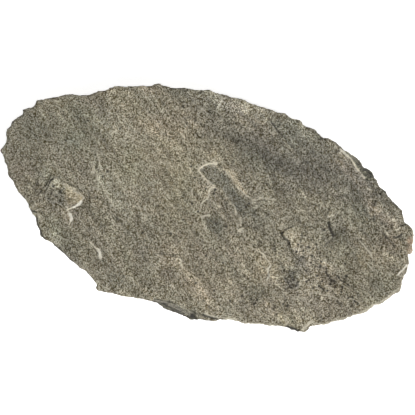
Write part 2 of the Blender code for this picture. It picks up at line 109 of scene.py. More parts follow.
# A bruise is a pale line where an edge has crumbled: its run, half width and strength.
Line = namedtuple("Line", "run width strength")
BRUISES = [
    # west flake: the white chip at its east corner, the tongue below it and the pale edge above
    Line([(85, 196), (82, 200)], 0.5, 0.7),
    Line([(82, 200), (80, 203), (77, 205)], 1.2, 1.35),
    Line([(77, 205), (73, 207)], 0.85, 1.3),
    Line([(73, 207), (67, 209)], 0.6, 1.0),
    Line([(67, 209), (71, 213)], 0.5, 0.8),
    Line([(70, 212), (72, 217), (71, 221)], 1.35, 1.3),
    Line([(71, 221), (69, 225)], 0.6, 0.9),
    Line([(62, 183), (66, 184), (70, 188), (75, 191), (80, 193), (84, 196)], 1.2, 0.4),
    Line([(55, 177), (57, 178), (59, 180)], 1.8, 0.4),
    Line([(50, 185), (53, 182)], 1.2, 0.35),
    Line([(81, 219), (84, 223)], 0.9, 0.35),
    Line([(38, 213), (40, 217), (42, 221)], 1.5, 0.35),
    # chip by the south-west rim, and others along it
    Line([(90, 241), (93, 244), (96, 247), (98, 249)], 0.8, 0.9),
    Line([(98, 248), (100, 252), (101, 258)], 1.5, 1.2),
    Line([(180, 257), (181, 262), (183, 268)], 0.9, 0.65),
    Line([(177, 254), (180, 257)], 0.8, 0.4),
    # streaks east of the flake
    Line([(97, 151), (98, 156), (100, 163), (101, 170)], 0.8, 0.5),
    Line([(92, 165), (94, 170), (97, 177)], 1.1, 0.35),
    Line([(97, 178), (101, 182), (105, 188), (108, 196), (113, 204)], 1.3, 0.35),
    # the cream line round the middle hollow
    Line([(213, 163), (216, 163), (217, 162)], 1.6, 1.0),
    Line([(213, 163), (209, 163), (204, 165), (201, 167), (199, 169)], 0.9, 0.95),
    Line([(197, 166), (199, 169)], 0.7, 0.5),
    Line([(199, 169), (200, 172), (203, 176), (206, 179), (209, 181)], 0.8, 0.9),
    Line([(208, 181), (212, 184), (215, 185)], 1.0, 0.55),
    Line(
        [(216, 187), (212, 187), (209, 189), (209, 194), (208, 198), (204, 200), (201, 203), (201, 207)],
        0.75, 0.75,
    ),
    Line([(201, 207), (200, 211)], 0.7, 0.4),
    Line([(200, 215), (202, 217), (205, 215), (210, 214)], 1.1, 0.65),
    Line([(204, 223), (205, 228), (206, 231)], 0.9, 0.55),
    Line([(192, 188), (192, 195)], 1.1, 0.5),
    Line([(185, 180), (186, 180)], 1.0, 0.6),
    # the second line, south-east of it
    Line([(233, 204), (234, 204)], 1.0, 0.8),
    Line([(235, 207), (236, 211), (237, 213)], 0.9, 0.65),
    Line([(240, 216), (241, 220), (240, 225)], 1.2, 0.7),
    Line([(243, 228), (241, 229), (238, 231)], 1.6, 0.8),
    # the ridge north-east of the hollow and the tread that turns off
    Line([(226, 171), (230, 176), (234, 180)], 1.6, 0.35),
    Line([(235, 183), (239, 188), (244, 193), (249, 197)], 0.9, 0.6),
    Line([(250, 197), (253, 199), (257, 199), (261, 197), (266, 198), (271, 199), (276, 199)], 0.7, 0.6),
    Line([(260, 194), (261, 198)], 0.7, 0.5),
    Line([(251, 199), (252, 204)], 0.9, 0.55),
    Line([(265, 209), (266, 209)], 1.1, 0.9),
    # crumbs round the pale plates
    Line([(282, 224), (285, 228)], 1.6, 0.4),
    Line([(300, 215), (302, 219)], 1.5, 0.45),
    Line([(333, 225), (339, 223)], 1.0, 0.35),
    Line([(297, 296), (303, 298), (307, 297)], 1.2, 0.45),
    Line([(308, 294), (316, 292), (323, 294), (331, 295), (339, 299)], 0.8, 0.4),
    Line([(292, 296), (295, 299)], 1.7, 0.4),
    Line([(286, 263), (286, 267)], 1.3, 0.4),
    # forked line in the south half
    Line([(271, 264), (268, 268), (268, 272), (269, 275), (267, 279)], 0.85, 1.15),
    Line([(267, 279), (267, 284)], 0.7, 0.6),
    Line([(250, 245), (253, 248)], 0.6, 0.5),
    Line([(258, 250), (264, 254), (267, 259), (271, 264)], 0.65, 0.85),
    Line([(260, 275), (262, 280), (265, 285)], 0.6, 0.55),
    Line([(254, 260), (262, 266), (268, 269)], 0.6, 0.6),
    # small ones toward the east
    Line([(359, 240), (363, 244), (367, 249), (371, 254), (372, 257)], 0.7, 0.65),
    Line([(365, 261), (369, 265), (373, 270)], 0.7, 0.5),
    Line([(361, 280), (364, 279), (366, 282), (363, 285), (360, 284)], 0.5, 0.35),
    Line([(386, 232), (388, 234)], 1.4, 0.9),
    Line([(395, 229), (398, 229), (400, 226)], 1.0, 0.7),
    Line([(391, 220), (398, 219)], 0.9, 0.4),
    # along the rim: north-east slope, east side and the south tip
    Line([(340, 148), (344, 152), (348, 156)], 1.5, 1.1),
    Line([(348, 156), (351, 158), (353, 162), (356, 167), (359, 171)], 0.8, 1.0),
    Line([(361, 174), (365, 178)], 1.2, 0.75),
    Line([(397, 275), (400, 271), (404, 267), (408, 263)], 0.8, 1.25),
    Line([(402, 277), (404, 273)], 0.7, 0.6),
    Line([(402, 279), (401, 285), (398, 291)], 1.0, 0.35),
    Line([(372, 305), (378, 303)], 1.3, 0.5),
    Line([(413, 232), (413, 241), (412, 250), (409, 254)], 1.0, 0.5),
    # the two runs along the south and south-east rim: pale crumbled edge, and painted highlight where that
    # rim faces the light
    Line([(240, 321), (250, 323), (262, 323), (275, 324)], 1.2, 0.3),
    Line(
        [
            (313, 323), (325, 323), (335, 320), (345, 317), (356, 314), (366, 309), (378, 303), (388, 297),
            (398, 288),
        ],
        1.3, 0.45,
    ),
    Line([(100, 292), (115, 295), (130, 297), (146, 299)], 1.0, 0.25),
    Line([(302, 329), (306, 325), (309, 322), (313, 320)], 1.5, 0.75),
    Line([(284, 317), (287, 321), (286, 325)], 1.6, 0.4),
    Line([(277, 315), (279, 319)], 1.3, 0.4),
    Line([(306, 307), (308, 311)], 1.1, 0.4),
    Line([(150, 299), (158, 300), (166, 302), (174, 304), (184, 307), (191, 312), (196, 314)], 0.7, 0.25),
    Line([(166, 304), (176, 308), (184, 312), (190, 316)], 0.5, 0.3),
    Line([(196, 315), (198, 315)], 1.2, 0.7),
    Line([(204, 312), (211, 315), (219, 317), (226, 317)], 0.7, 0.5),
    Line([(222, 317), (232, 318), (238, 319)], 1.1, 0.6),
    Line([(75, 213), (81, 220), (87, 228), (94, 236)], 0.35, 0.4),
    Line([(97, 238), (101, 242), (104, 249)], 0.5, 0.45),
    Line([(110, 226), (114, 224), (118, 224), (122, 226), (125, 230)], 1.0, 0.3),
]

# Dark lines of painted shade: at the foot of a small ledge, in a crack, or along a bed's open edge.
SHADE_LINES = [
    Line([(55, 177), (51, 180), (49, 185)], 0.95, 1.0),
    Line([(49, 185), (46, 191), (43, 194)], 0.7, 0.75),
    Line([(329, 221), (329, 226), (331, 231), (333, 236)], 1.4, 1.0),
    Line([(333, 236), (331, 240), (327, 242), (324, 246)], 1.1, 0.65),
    Line([(283, 231), (281, 234), (284, 238), (288, 240), (290, 245)], 0.9, 0.7),
    Line([(301, 230), (302, 236), (300, 241)], 1.2, 0.5),
    Line([(285, 289), (289, 286), (293, 283)], 1.1, 0.7),
    Line([(331, 289), (334, 293), (337, 294)], 0.9, 0.55),
    Line([(336, 300), (341, 305)], 1.0, 0.55),
    Line([(382, 232), (386, 237), (390, 240), (392, 242), (395, 247)], 1.2, 0.6),
    Line([(393, 236), (396, 237), (399, 236), (402, 233)], 1.0, 0.9),
    Line([(369, 248), (371, 251)], 1.1, 0.5),
    Line([(224, 201), (226, 204), (226, 207)], 1.0, 0.5),
    Line([(245, 212), (243, 215)], 1.0, 0.5),
    Line([(219, 164), (222, 168)], 1.5, 0.35),
    Line([(268, 117), (272, 123), (277, 129), (283, 136)], 0.9, 0.7),
    Line([(155, 253), (166, 254), (178, 254)], 0.8, 0.4),
    Line([(285, 326), (293, 328), (299, 331)], 1.7, 0.95),
    # the south spall and the thin bed beside it
    Line([(160, 302), (168, 307), (176, 312), (184, 317), (190, 319)], 0.8, 0.7),
    Line([(170, 306), (178, 310), (186, 314), (194, 317)], 0.6, 0.6),
    Line([(176, 306), (185, 310), (193, 315)], 0.5, 0.5),
    Line([(203, 315), (210, 317), (218, 319)], 1.0, 0.8),
    # a hairline below the flake, and the notch and the painted shade along the west rim's arris
    Line([(74, 213), (80, 220), (86, 228), (93, 236)], 0.4, 0.4),
    Line([(30, 209), (34, 211), (38, 212)], 0.9, 0.8),
    Line(
        [(37, 216), (38, 225), (42, 234), (46, 240), (54, 244), (61, 250), (67, 256), (75, 263)],
        1.2, 0.7,
    ),
    Line([(117, 217), (119, 220)], 1.3, 0.7),
]

# Small pits where grains have dropped out, drawn only as spots of painted shade: place and radius.
PITS = [
    (308, 246, 1.5), (296, 251, 1.4), (313, 248, 1.1), (312, 255, 1.3), (320, 266, 1.6), (321, 261, 1.1),
    (306, 270, 1.1), (317, 275, 1.5), (328, 275, 1.6), (334, 280, 1.5), (319, 285, 1.4), (323, 288, 1.5),
    (346, 275, 1.5), (342, 286, 1.5), (341, 280, 1.1), (306, 281, 1.2), (320, 252, 1.1), (316, 244, 1.0),
    (324, 229, 1.4), (322, 280, 1.2), (330, 283, 1.3), (337, 275, 1.2), (326, 268, 1.1), (61, 191, 1.5),
    (54, 186, 1.2), (57, 196, 1.2), (52, 193, 1.1), (64, 188, 1.0), (49, 198, 1.1), (60, 200, 1.1),
    (108, 171, 1.4), (103, 176, 1.0), (216, 223, 1.3), (211, 220, 1.2), (242, 295, 1.5), (287, 305, 1.4),
    (283, 303, 1.3), (254, 303, 1.4), (257, 299, 1.3), (251, 299, 1.1), (290, 275, 1.4), (296, 285, 1.5),
    (293, 279, 1.4), (288, 282, 1.2), (206, 188, 1.2), (215, 189, 1.5), (214, 193, 1.2), (192, 203, 1.3),
    (198, 211, 1.3), (191, 166, 1.1), (195, 177, 1.0), (246, 206, 1.3), (249, 203, 1.2), (237, 206, 1.0),
    (278, 126, 1.1), (330, 251, 1.1), (345, 263, 1.2), (352, 296, 1.3), (357, 303, 1.3), (351, 305, 1.2),
    (303, 256, 1.2), (299, 260, 1.1), (226, 226, 1.1), (183, 219, 1.2), (171, 233, 1.2), (158, 205, 1.1),
    (143, 232, 1.2), (206, 255, 1.3), (223, 262, 1.1), (196, 282, 1.3), (230, 300, 1.2), (214, 290, 1.2),
    (311, 262, 1.2), (315, 266, 1.1), (309, 279, 1.1), (313, 287, 1.2), (326, 272, 1.3), (331, 279, 1.2),
    (339, 277, 1.2), (344, 281, 1.3), (348, 284, 1.1), (335, 286, 1.2), (341, 291, 1.2), (327, 290, 1.2),
    (318, 259, 1.0), (303, 250, 1.1), (298, 244, 1.1), (305, 235, 1.1), (311, 239, 1.0), (294, 272, 1.2),
    (289, 270, 1.1), (298, 281, 1.2), (286, 278, 1.1), (291, 287, 1.2), (348, 297, 1.2), (354, 300, 1.2),
    (120, 128, 1.1), (150, 112, 1.1), (88, 120, 1.1), (66, 140, 1.1), (183, 106, 1.2), (247, 139, 1.2),
]

# A plate is a bed's small lifted (or sunken) surface: its outline, how far it stands up, how plain its
# grain is, and how much lighter and warmer it is than the stone around it.
Plate = namedtuple("Plate", "outline rise plain light warm")
PLATES = [
    Plate(
        [(66, 186), (71, 188), (76, 191), (83, 196), (80, 202), (73, 205), (68, 203), (65, 197)],
        0.5, 1.2, 0.65, 0.4,
    ),
    Plate(
        [(50, 184), (54, 177), (58, 178), (62, 183), (62, 187), (55, 188), (51, 187)],
        0.7, 0.5, 0.9, -0.8,
    ),
    Plate(
        [(48, 188), (62, 188), (66, 192), (64, 203), (58, 205), (48, 202), (44, 196)],
        -0.4, -0.3, -0.4, -0.5,
    ),
    Plate(
        [
            (95, 172), (101, 178), (112, 185), (123, 196), (130, 211), (124, 219), (116, 209), (108, 195),
            (104, 186), (98, 179),
        ],
        0.5, 0.2, 0.3, -0.3,
    ),
    Plate([(62, 210), (69, 211), (71, 215), (69, 224), (66, 219), (62, 214)], 0.3, 0.5, 0.15, 0.1),
    Plate(
        [
            (282, 234), (285, 230), (290, 227), (297, 227), (301, 231), (300, 240), (299, 247), (294, 246),
            (290, 241),
        ],
        0.8, 0.9, 0.5, 0.3,
    ),
    Plate(
        [
            (292, 244), (299, 243), (306, 240), (313, 241), (317, 245), (316, 252), (308, 254), (300, 254),
            (294, 250),
        ],
        0.5, 0.5, 0.35, 0.1,
    ),
    Plate(
        [(312, 255), (325, 257), (332, 262), (334, 269), (328, 276), (318, 271), (307, 266), (304, 258)],
        0.5, 0.3, 0.35, -0.1,
    ),
    Plate([(329, 261), (336, 262), (337, 269), (331, 270)], 0.2, 0.6, 0.35, -0.5),
    Plate(
        [(313, 272), (330, 273), (346, 280), (346, 293), (336, 296), (322, 291), (314, 284)],
        0.3, 0.1, 0.05, 0.2,
    ),
    Plate([(332, 289), (338, 287), (344, 290), (343, 294), (334, 294)], 0.4, 0.7, 0.35, 0.2),
    Plate([(299, 275), (309, 275), (312, 283), (309, 294), (300, 297), (297, 288)], 0.4, 0.5, 0.4, 0.0),
    Plate([(294, 255), (305, 256), (307, 262), (302, 267), (296, 265)], -0.6, 0.2, -0.6, -0.8),
    Plate([(285, 272), (296, 270), (299, 282), (297, 289), (287, 288), (285, 281)], -0.5, -0.2, -0.3, -0.4),
    Plate(
        [
            (201, 169), (206, 165), (216, 166), (222, 172), (228, 182), (238, 193), (247, 202), (250, 209),
            (240, 210), (232, 201), (222, 190), (214, 184), (207, 179),
        ],
        -0.5, 0.4, -0.5, -0.9,
    ),
    Plate(
        [(226, 168), (231, 170), (237, 179), (243, 187), (247, 194), (240, 190), (233, 182), (227, 175)],
        0.6, 0.2, 0.6, 0.7,
    ),
    Plate([(190, 185), (200, 183), (209, 187), (207, 198), (199, 203), (192, 199)], 0.3, 0.3, 0.2, 0.4),
    Plate([(208, 217), (218, 217), (224, 226), (219, 234), (209, 231), (205, 224)], -0.5, 0.0, -0.5, -0.7),
    Plate([(212, 146), (217, 147), (216, 159), (211, 159)], 0.2, 0.3, 0.35, 0.3),
    Plate([(359, 245), (366, 247), (370, 256), (366, 268), (358, 262), (356, 252)], 0.3, 0.5, 0.35, 0.4),
    Plate(
        [(38, 197), (42, 186), (50, 174), (55, 174), (50, 183), (46, 190), (42, 197)],
        0.3, 0.0, 0.0, -0.1,
    ),
    Plate([(49, 233), (55, 231), (62, 235), (64, 244), (58, 246), (51, 241)], 0.4, 0.4, 1.3, -0.8),
    Plate([(281, 308), (290, 312), (292, 323), (283, 325), (276, 318)], 0.3, 0.2, 0.35, 0.3),
]

# A patch is a soft-edged area: centre, half length and half width in millimetres, the way it runs in
# degrees, and how much lighter, warmer (below 0, towards blue-green) and rosier (below 0, greener) it is
# than the stone around it.
Patch = namedtuple("Patch", "x y length width turn light warm rosy", defaults=(0.0,))
PATCHES = [
    # the warm, pale country in the north-west half
    Patch(-123, 84, 26, 9, -28, 0.7, 0.3, 0.0),
    Patch(-76, 102, 14, 9, -20, -0.1, 0.0, -0.3),
    Patch(-60, 66, 16, 26, -10, 0.5, 0.9, 0.2),
    Patch(-38, 40, 18, 34, -8, 0.45, 0.7, -0.1),
    Patch(-34, -4, 14, 30, 0, 0.25, 0.5, -0.5),
    Patch(-90, 30, 22, 22, 0, 0.2, 0.3, -0.6),
    Patch(-133, 56, 22, 7, -28, 0.4, -0.1, -0.2),
    Patch(-123, -4, 26, 6, -51, 0.8, -0.3, -0.5),
    Patch(-90, 10, 26, 5, -45, 0.4, 0.2, -0.2),
    Patch(-150, 96, 14, 8, -20, 0.2, 0.2, 0.5),
    Patch(-108, 112, 16, 6, -12, 0.5, 0.2, 0.8),
    # pale spots and streaks elsewhere
    Patch(20, 40, 26, 6, -32, 0.7, 0.5, 0.4),
    Patch(-4, 58, 12, 8, 0, 0.5, 0.5),
    Patch(67, 13, 18, 8, -40, -0.3, -0.3, -0.2),
    Patch(88, -44, 15, 13, -30, 1.0, 1.0, 0.0),
    Patch(20, -92, 22, 11, -40, 0.8, 0.3, 0.5),
    Patch(-22, -64, 16, 8, -40, 0.6, 0.6, 0.2),
    Patch(16, 114, 34, 10, -16, 1.0, -0.6, 0.6),
    Patch(84, 108, 15, 9, 0, 0.6, -0.6, 0.1),
    Patch(150, 84, 20, 7, -25, 0.8, 0.3, 0.7),
    Patch(200, 48, 20, 6, -25, 0.8, 0.2, 0.9),
    Patch(56, 52, 10, 8, -30, 0.5, 0.2, 0.0),
    Patch(120, -22, 26, 9, -50, 0.6, -0.1, 0.6),
    Patch(142, -66, 26, 12, -20, 0.5, 0.0, 0.7),
    Patch(104, -92, 14, 9, -20, 0.7, 0.1, 0.7),
    Patch(160, 4, 14, 6, -60, 0.3, -0.1, -0.3),
    Patch(192, -10, 28, 18, -60, -0.45, -0.2, -0.3),
    Patch(-146, -32, 15, 8, -10, 0.9, 0.5, 0.2),
    Patch(-142, -54, 7, 12, 0, 0.5, 0.0, 0.7),
    Patch(222, -50, 16, 10, -20, 0.2, 0.0, -0.4),
    Patch(48, -40, 14, 8, -30, -0.1, 0.4, 0.5),
    # dark ones
    Patch(-215, 22, 26, 30, 0, -0.3, -0.5, -0.1),
    Patch(-212, -24, 18, 16, -60, -0.3, 0.1, 0.5),
    Patch(-166, 60, 18, 9, -30, -0.8, -0.6, -0.6),
    Patch(-140, 70, 14, 5, -35, -0.7, -0.4, 0.1),
    Patch(-166, 26, 12, 14, 0, -0.4, -0.9, -0.7),
    Patch(-180, -20, 8, 12, 0, 0.5, -0.3, -0.4),
    Patch(-78, 76, 9, 6, 0, 0.2, 0.0, 0.3),
    Patch(-75, -14, 20, 5, -45, -0.2, 0.1, 0.2),
    Patch(-71, -55, 11, 8, -20, -0.5, -0.4, -0.3),
    Patch(-126, -38, 10, 14, -20, -0.4, 0.7, 0.0),
    Patch(-96, -88, 22, 6, -35, -0.8, -0.3, 0.3),
    Patch(-66, -82, 14, 5, -60, -0.3, 0.2, -0.8),
    Patch(-48, -76, 12, 6, -60, -0.8, -0.3, 0.4),
    Patch(-138, -84, 22, 9, -30, -0.8, -0.4, -0.3),
    Patch(-132, -97, 16, 6, -28, -0.9, -0.6, 0.0),
    Patch(-150, -56, 16, 8, -40, -0.5, 0.0, 0.2),
    Patch(-140, -40, 6, 10, 30, -0.6, -0.3, 0.0),
    Patch(-14, -86, 8, 8, 0, -0.6, 0.1, 0.2),
    Patch(-38, -90, 8, 10, -60, -0.5, -0.2, -0.4),
    Patch(6, -50, 10, 6, -30, -0.4, 0.2, 0.2),
    Patch(20, -16, 13, 10, -40, -0.9, -0.7, -0.5),
    Patch(52, -80, 16, 12, -20, 0.2, 0.6, 0.1),
    Patch(84, -76, 8, 7, -20, -0.5, -0.3, -0.3),
    Patch(118, -46, 8, 10, -20, -0.3, -0.4, 0.0),
    Patch(150, 12, 9, 14, -10, -1.3, -0.6, 0.0),
    Patch(158, -34, 14, 10, -50, 0.2, 0.0, 0.7),
    Patch(206, 36, 24, 8, -35, -1.0, 0.1, 0.2),
    Patch(172, 52, 16, 8, -30, -0.9, -0.8, -0.2),
    Patch(214, -22, 14, 12, -20, -0.5, -0.3, -0.5),
    Patch(236, -40, 10, 18, 0, -0.4, -0.3, 0.2),
    Patch(180, -60, 20, 8, -20, -0.2, -0.2, 0.4),
    # the broad dark band that crosses from the north rim to the east tip: darker, cooler stone, and painted
    # shade on the slope of its trough
    Patch(-52, 106, 20, 8, -32, -0.3, -0.4, 0.2),
    Patch(-14, 92, 26, 8, -28, -0.5, -0.4, 0.4),
    Patch(30, 84, 30, 11, -20, -0.9, -0.5, 0.4),
    Patch(72, 74, 32, 16, -14, -1.2, -0.8, 0.3),
    Patch(120, 72, 32, 15, -8, -1.0, -0.7, 0.4),
    Patch(168, 74, 26, 14, -12, -1.0, -0.6, 0.3),
    Patch(206, 70, 22, 10, -30, -1.0, -0.6, 0.3),
    Patch(118, 92, 34, 12, -12, -0.5, -0.9, 0.1),
    Patch(84, 44, 30, 5, -20, -0.4, -0.2, 0.1),
    # smaller changes within the large areas
    Patch(-218, -2, 12, 10, 0, -0.7, -0.1, -0.3),
    Patch(-64, 112, 10, 6, -10, -0.7, -0.3, -0.2),
    Patch(32, 68, 12, 8, -30, -0.6, -0.5, -0.3),
    Patch(128, 89, 12, 8, -30, 0.6, 0.3, 0.3),
    Patch(180, 60, 11, 7, -30, 0.9, 0.5, 0.5),
    Patch(165, 83, 11, 5, -40, -0.7, -0.2, 0.0),
    Patch(100, 33, 14, 7, -30, 0.6, 0.1, 0.0),
    Patch(-66, -16, 6, 9, 0, -0.5, 0.0, 0.0),
    Patch(133, -6, 8, 8, 0, 0.5, 0.0, 0.1),
    Patch(-128, 50, 26, 16, -20, 0.0, -0.5, -0.2),
    Patch(8, -28, 24, 44, 0, 0.1, 0.4, 0.2),
    Patch(24, -75, 12, 13, -20, 0.0, 0.8, 0.1),
    Patch(86, -58, 11, 9, 0, 0.1, 0.6, 0.4),
    Patch(197, -6, 16, 28, -20, 0.1, 0.7, 0.4),
    Patch(217, 22, 12, 10, 0, 0.5, 0.7, 0.6),
    Patch(-93, -26, 20, 8, -50, 0.5, -0.3, -0.2),
    Patch(-92, -62, 12, 5, -55, 0.4, -0.2, -0.2),
    Patch(-152, -72, 8, 9, -40, 0.6, -0.4, -0.6),
    Patch(59, 113, 28, 10, -14, -0.4, -0.8, -0.5),
    Patch(-24, 118, 26, 7, -12, 0.4, -0.8, 0.3),
    Patch(-125, 58, 16, 8, -45, 0.8, 0.1, 0.1),
    Patch(-88, 70, 14, 10, -20, 0.35, 0.8, 0.5),
    Patch(-188, -16, 16, 10, -30, -0.8, -0.1, 0.0),
    Patch(-79, -32, 10, 8, -50, 0.6, 0.0, 0.0),
    Patch(-122, 97, 10, 6, -10, 0.7, 0.1, 0.3),
    Patch(21, 122, 12, 6, -14, 0.8, 0.0, 0.0),
    Patch(-205, 36, 28, 22, 0, -0.3, -0.1, -0.2),
    Patch(35, -103, 15, 8, -10, 0.7, 0.4, 0.1),
    Patch(146, -47, 20, 9, -20, 0.6, 0.0, 0.1),
    Patch(148, -35, 20, 9, -20, 0.55, 0.2, 0.15),
    Patch(134, -86, 26, 9, -5, 0.7, 0.2, 0.3),
    Patch(66, -34, 18, 9, -30, 0.4, 0.2, 0.1),
    Patch(72, -12, 14, 8, -30, 0.1, 0.5, 0.1),
    Patch(164, 42, 14, 10, -20, -0.4, -0.4, -0.4),
    Patch(139, 57, 10, 7, -20, 0.5, 0.1, 0.1),
    Patch(178, 57, 12, 6, -20, 0.5, 0.2, 0.2),
    Patch(-72, -108, 14, 9, 0, -0.2, -0.5, -0.2),
    Patch(53, 47, 28, 12, -60, -0.2, -0.4, -0.1),
    Patch(131, 101, 14, 9, -30, 0.1, 0.2, 0.5),
    # the groove that leaves the middle hollow
    Patch(14, 34, 14, 6, -50, -0.5, -0.6, -0.1),
    Patch(38, 15, 26, 6, -38, -1.0, -0.6, -0.3),
    Patch(70, -6, 20, 5, -36, -0.6, -0.3, 0.0),
    Patch(100, 3, 11, 6, -30, 0.4, 0.1, 0.0),
]

# Where the face is flaked and lumpy (smooth, below 0): centre, half length, half width, turn, how much.
FLAKY = [
    (130, -40, 60, 34, -35, 0.8),
    (200, 25, 34, 20, -30, 0.7),
    (20, 20, 50, 22, -35, 0.5),
    (110, -88, 40, 16, -15, 0.5),
    (-160, -40, 34, 18, 0, 0.5),
    (-110, -40, 50, 30, -35, 0.2),
    (-60, 30, 70, 40, -30, -0.5),
    (-200, 20, 40, 40, 0, -0.5),
    (100, 74, 100, 26, -14, 2.0),
    (-20, 108, 60, 20, -20, 0.8),
    (200, -40, 34, 20, -20, -0.3),
]

# Spalls in the rim that show fresh stone from above: the top edge of each, how far it reaches below that,
# how far its foot stands out, and how much lighter it is.
Spall = namedtuple("Spall", "run reach push light")
SPALLS = [
    Spall([(-30, -120), (-18, -117), (-4, -116), (8, -117), (20, -118), (34, -120)], 11.0, 3.0, -3.8),
    Spall([(30, -119), (44, -119), (60, -115)], 6.0, 1.0, -1.2),
    Spall([(116, -103), (131, -102), (146, -104)], 5.0, 1.5, -1.5),
    Spall([(168, 82), (155, 92), (146, 98), (139, 103), (130, 106)], 10.0, 4.0, -1.2),
    Spall([(180, 73), (173, 81), (166, 88), (160, 92)], 6.0, 3.8, -1.3),
    Spall([(102, 111), (96, 114), (90, 119)], 6.0, 0.5, -0.8),
]

# Rusty stains: centre and radius.
STAINS = [(234, 33, 8), (238, 24, 9)]


# ---- the skin ----------------------------------------------------------------------------------------

def smooth(share):
    share = np.clip(share, 0.0, 1.0)
    return share * share * (3.0 - 2.0 * share)


def rough(points, wavelength, seed):
    """Noise over places in millimetres, about -1 to 1."""
    return np.array([noise.fractal(Vector((x, y, z + seed)), *ROUGHNESS) for x, y, z in points / wavelength])


def distance_to_run(points, run):
    """How far each point lies from a run on plan, at what share of its length, and the side (1 or -1)."""
    corners = np.array(run, float)
    lengths = np.linalg.norm(np.diff(corners, axis=0), axis=1)
    nearest = np.full(len(points), np.inf)
    share = np.zeros(len(points))
    side = np.ones(len(points))
    travelled = 0.0
    for a, b, length in zip(corners[:-1], corners[1:], lengths):
        along = (b - a) / length
        offset = points[:, :2] - a
        reach = np.clip(offset @ along, 0.0, length)
        gap = np.linalg.norm(offset - reach[:, None] * along, axis=1)
        closer = gap < nearest
        nearest[closer] = gap[closer]
        share[closer] = (travelled + reach[closer]) / lengths.sum()
        left = along[0] * offset[:, 1] - along[1] * offset[:, 0]
        side[closer] = np.where(left[closer] < 0.0, -1.0, 1.0)
        travelled += length
    return nearest, share, side


def sums(numbers, values, count):
    """Adds up the values that share a number."""
    if values.ndim == 1:
        return np.bincount(numbers, values, count)
    return np.stack([np.bincount(numbers, column, count) for column in values.T], axis=1)


class Shell:
    """A closed skin of triangles: places in millimetres, corners of each face, its region, and hard edges."""

    def __init__(self, points, faces, region, hard):
        self.points = points
        self.faces = faces
        self.region = region
        self.hard = hard
        self.linked = (None, None, None)

    def edges(self):
        """Each edge once, and for each face the number of its three edges."""
        ends = np.stack([self.faces, np.roll(self.faces, -1, axis=1)], axis=2).reshape(-1, 2)
        ends.sort(axis=1)
        keys = ends[:, 0].astype(np.int64) * len(self.points) + ends[:, 1]
        _, first, number = np.unique(keys, return_index=True, return_inverse=True)
        return ends[first], number.reshape(-1, 3)

    def is_hard(self, ends):
        count = len(self.points)
        keys = ends[:, 0].astype(np.int64) * count + ends[:, 1]
        hard = self.hard[:, 0].astype(np.int64) * count + self.hard[:, 1]
        return np.isin(keys, hard)

    def spread(self, values):
        """The mean of each point's neighbours."""
        if self.linked[0] is not self.faces:
            ends, _ = self.edges()
            self.linked = (self.faces, ends.T.ravel(), ends[:, ::-1].T.ravel())
        _, at, neighbour = self.linked
        count = np.bincount(at, minlength=len(values)).astype(float)
        total = sums(at, values[neighbour], len(values))
        return total / (count[:, None] if values.ndim > 1 else count)


def region_of(face, spalled, seen_from_above):
    """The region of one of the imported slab's faces; a spall, or what an overhang covers, is wall."""
    middle = face.calc_center_median()
    if spalled[face.index] and LOOKS_UP < face.normal.z < SPALL_TILT:
        return WALL
    if face.normal.z > LOOKS_UP:
        up = Vector((0.0, 0.0, 1.0))
        covered = seen_from_above.ray_cast(middle + 0.1 * MM * up, up)[0]
        return WALL if covered else UPPER
    low = middle.z < UNDER_HEIGHT * MM and face.normal.z < UNDER_TILT
    return UNDER if low else WALL


def slab_shell():
    """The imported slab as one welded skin, with its faces told apart and its ledges marked."""
    mesh = bmesh.new()
    mesh.from_mesh(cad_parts[SLAB].data)
    bmesh.ops.remove_doubles(mesh, verts=mesh.verts, dist=WELD)
    bmesh.ops.recalc_face_normals(mesh, faces=mesh.faces)
    mesh.verts.index_update()
    mesh.faces.index_update()
    mesh.faces.ensure_lookup_table()
    seen_from_above = BVHTree.FromBMesh(mesh)
    middles = np.array([face.calc_center_median() for face in mesh.faces]) / MM
    spalled = np.zeros(len(middles), bool)
    for spall in SPALLS:
        spalled |= distance_to_run(middles, spall.run)[0] < spall.reach
    region = [region_of(face, spalled, seen_from_above) for face in mesh.faces]
    hard = []
    for edge in mesh.edges:
        one, other = (face.index for face in edge.link_faces)
        ledge = region[one] == region[other] == UPPER and edge.calc_face_angle() > LEDGE_BEND
        if ledge or region[one] != region[other]:
            hard.append(sorted(vertex.index for vertex in edge.verts))
    points = np.array([vertex.co for vertex in mesh.verts]) / MM
    faces = np.array([[vertex.index for vertex in face.verts] for face in mesh.faces])
    mesh.free()
    return Shell(points, faces, np.array(region), np.array(hard))


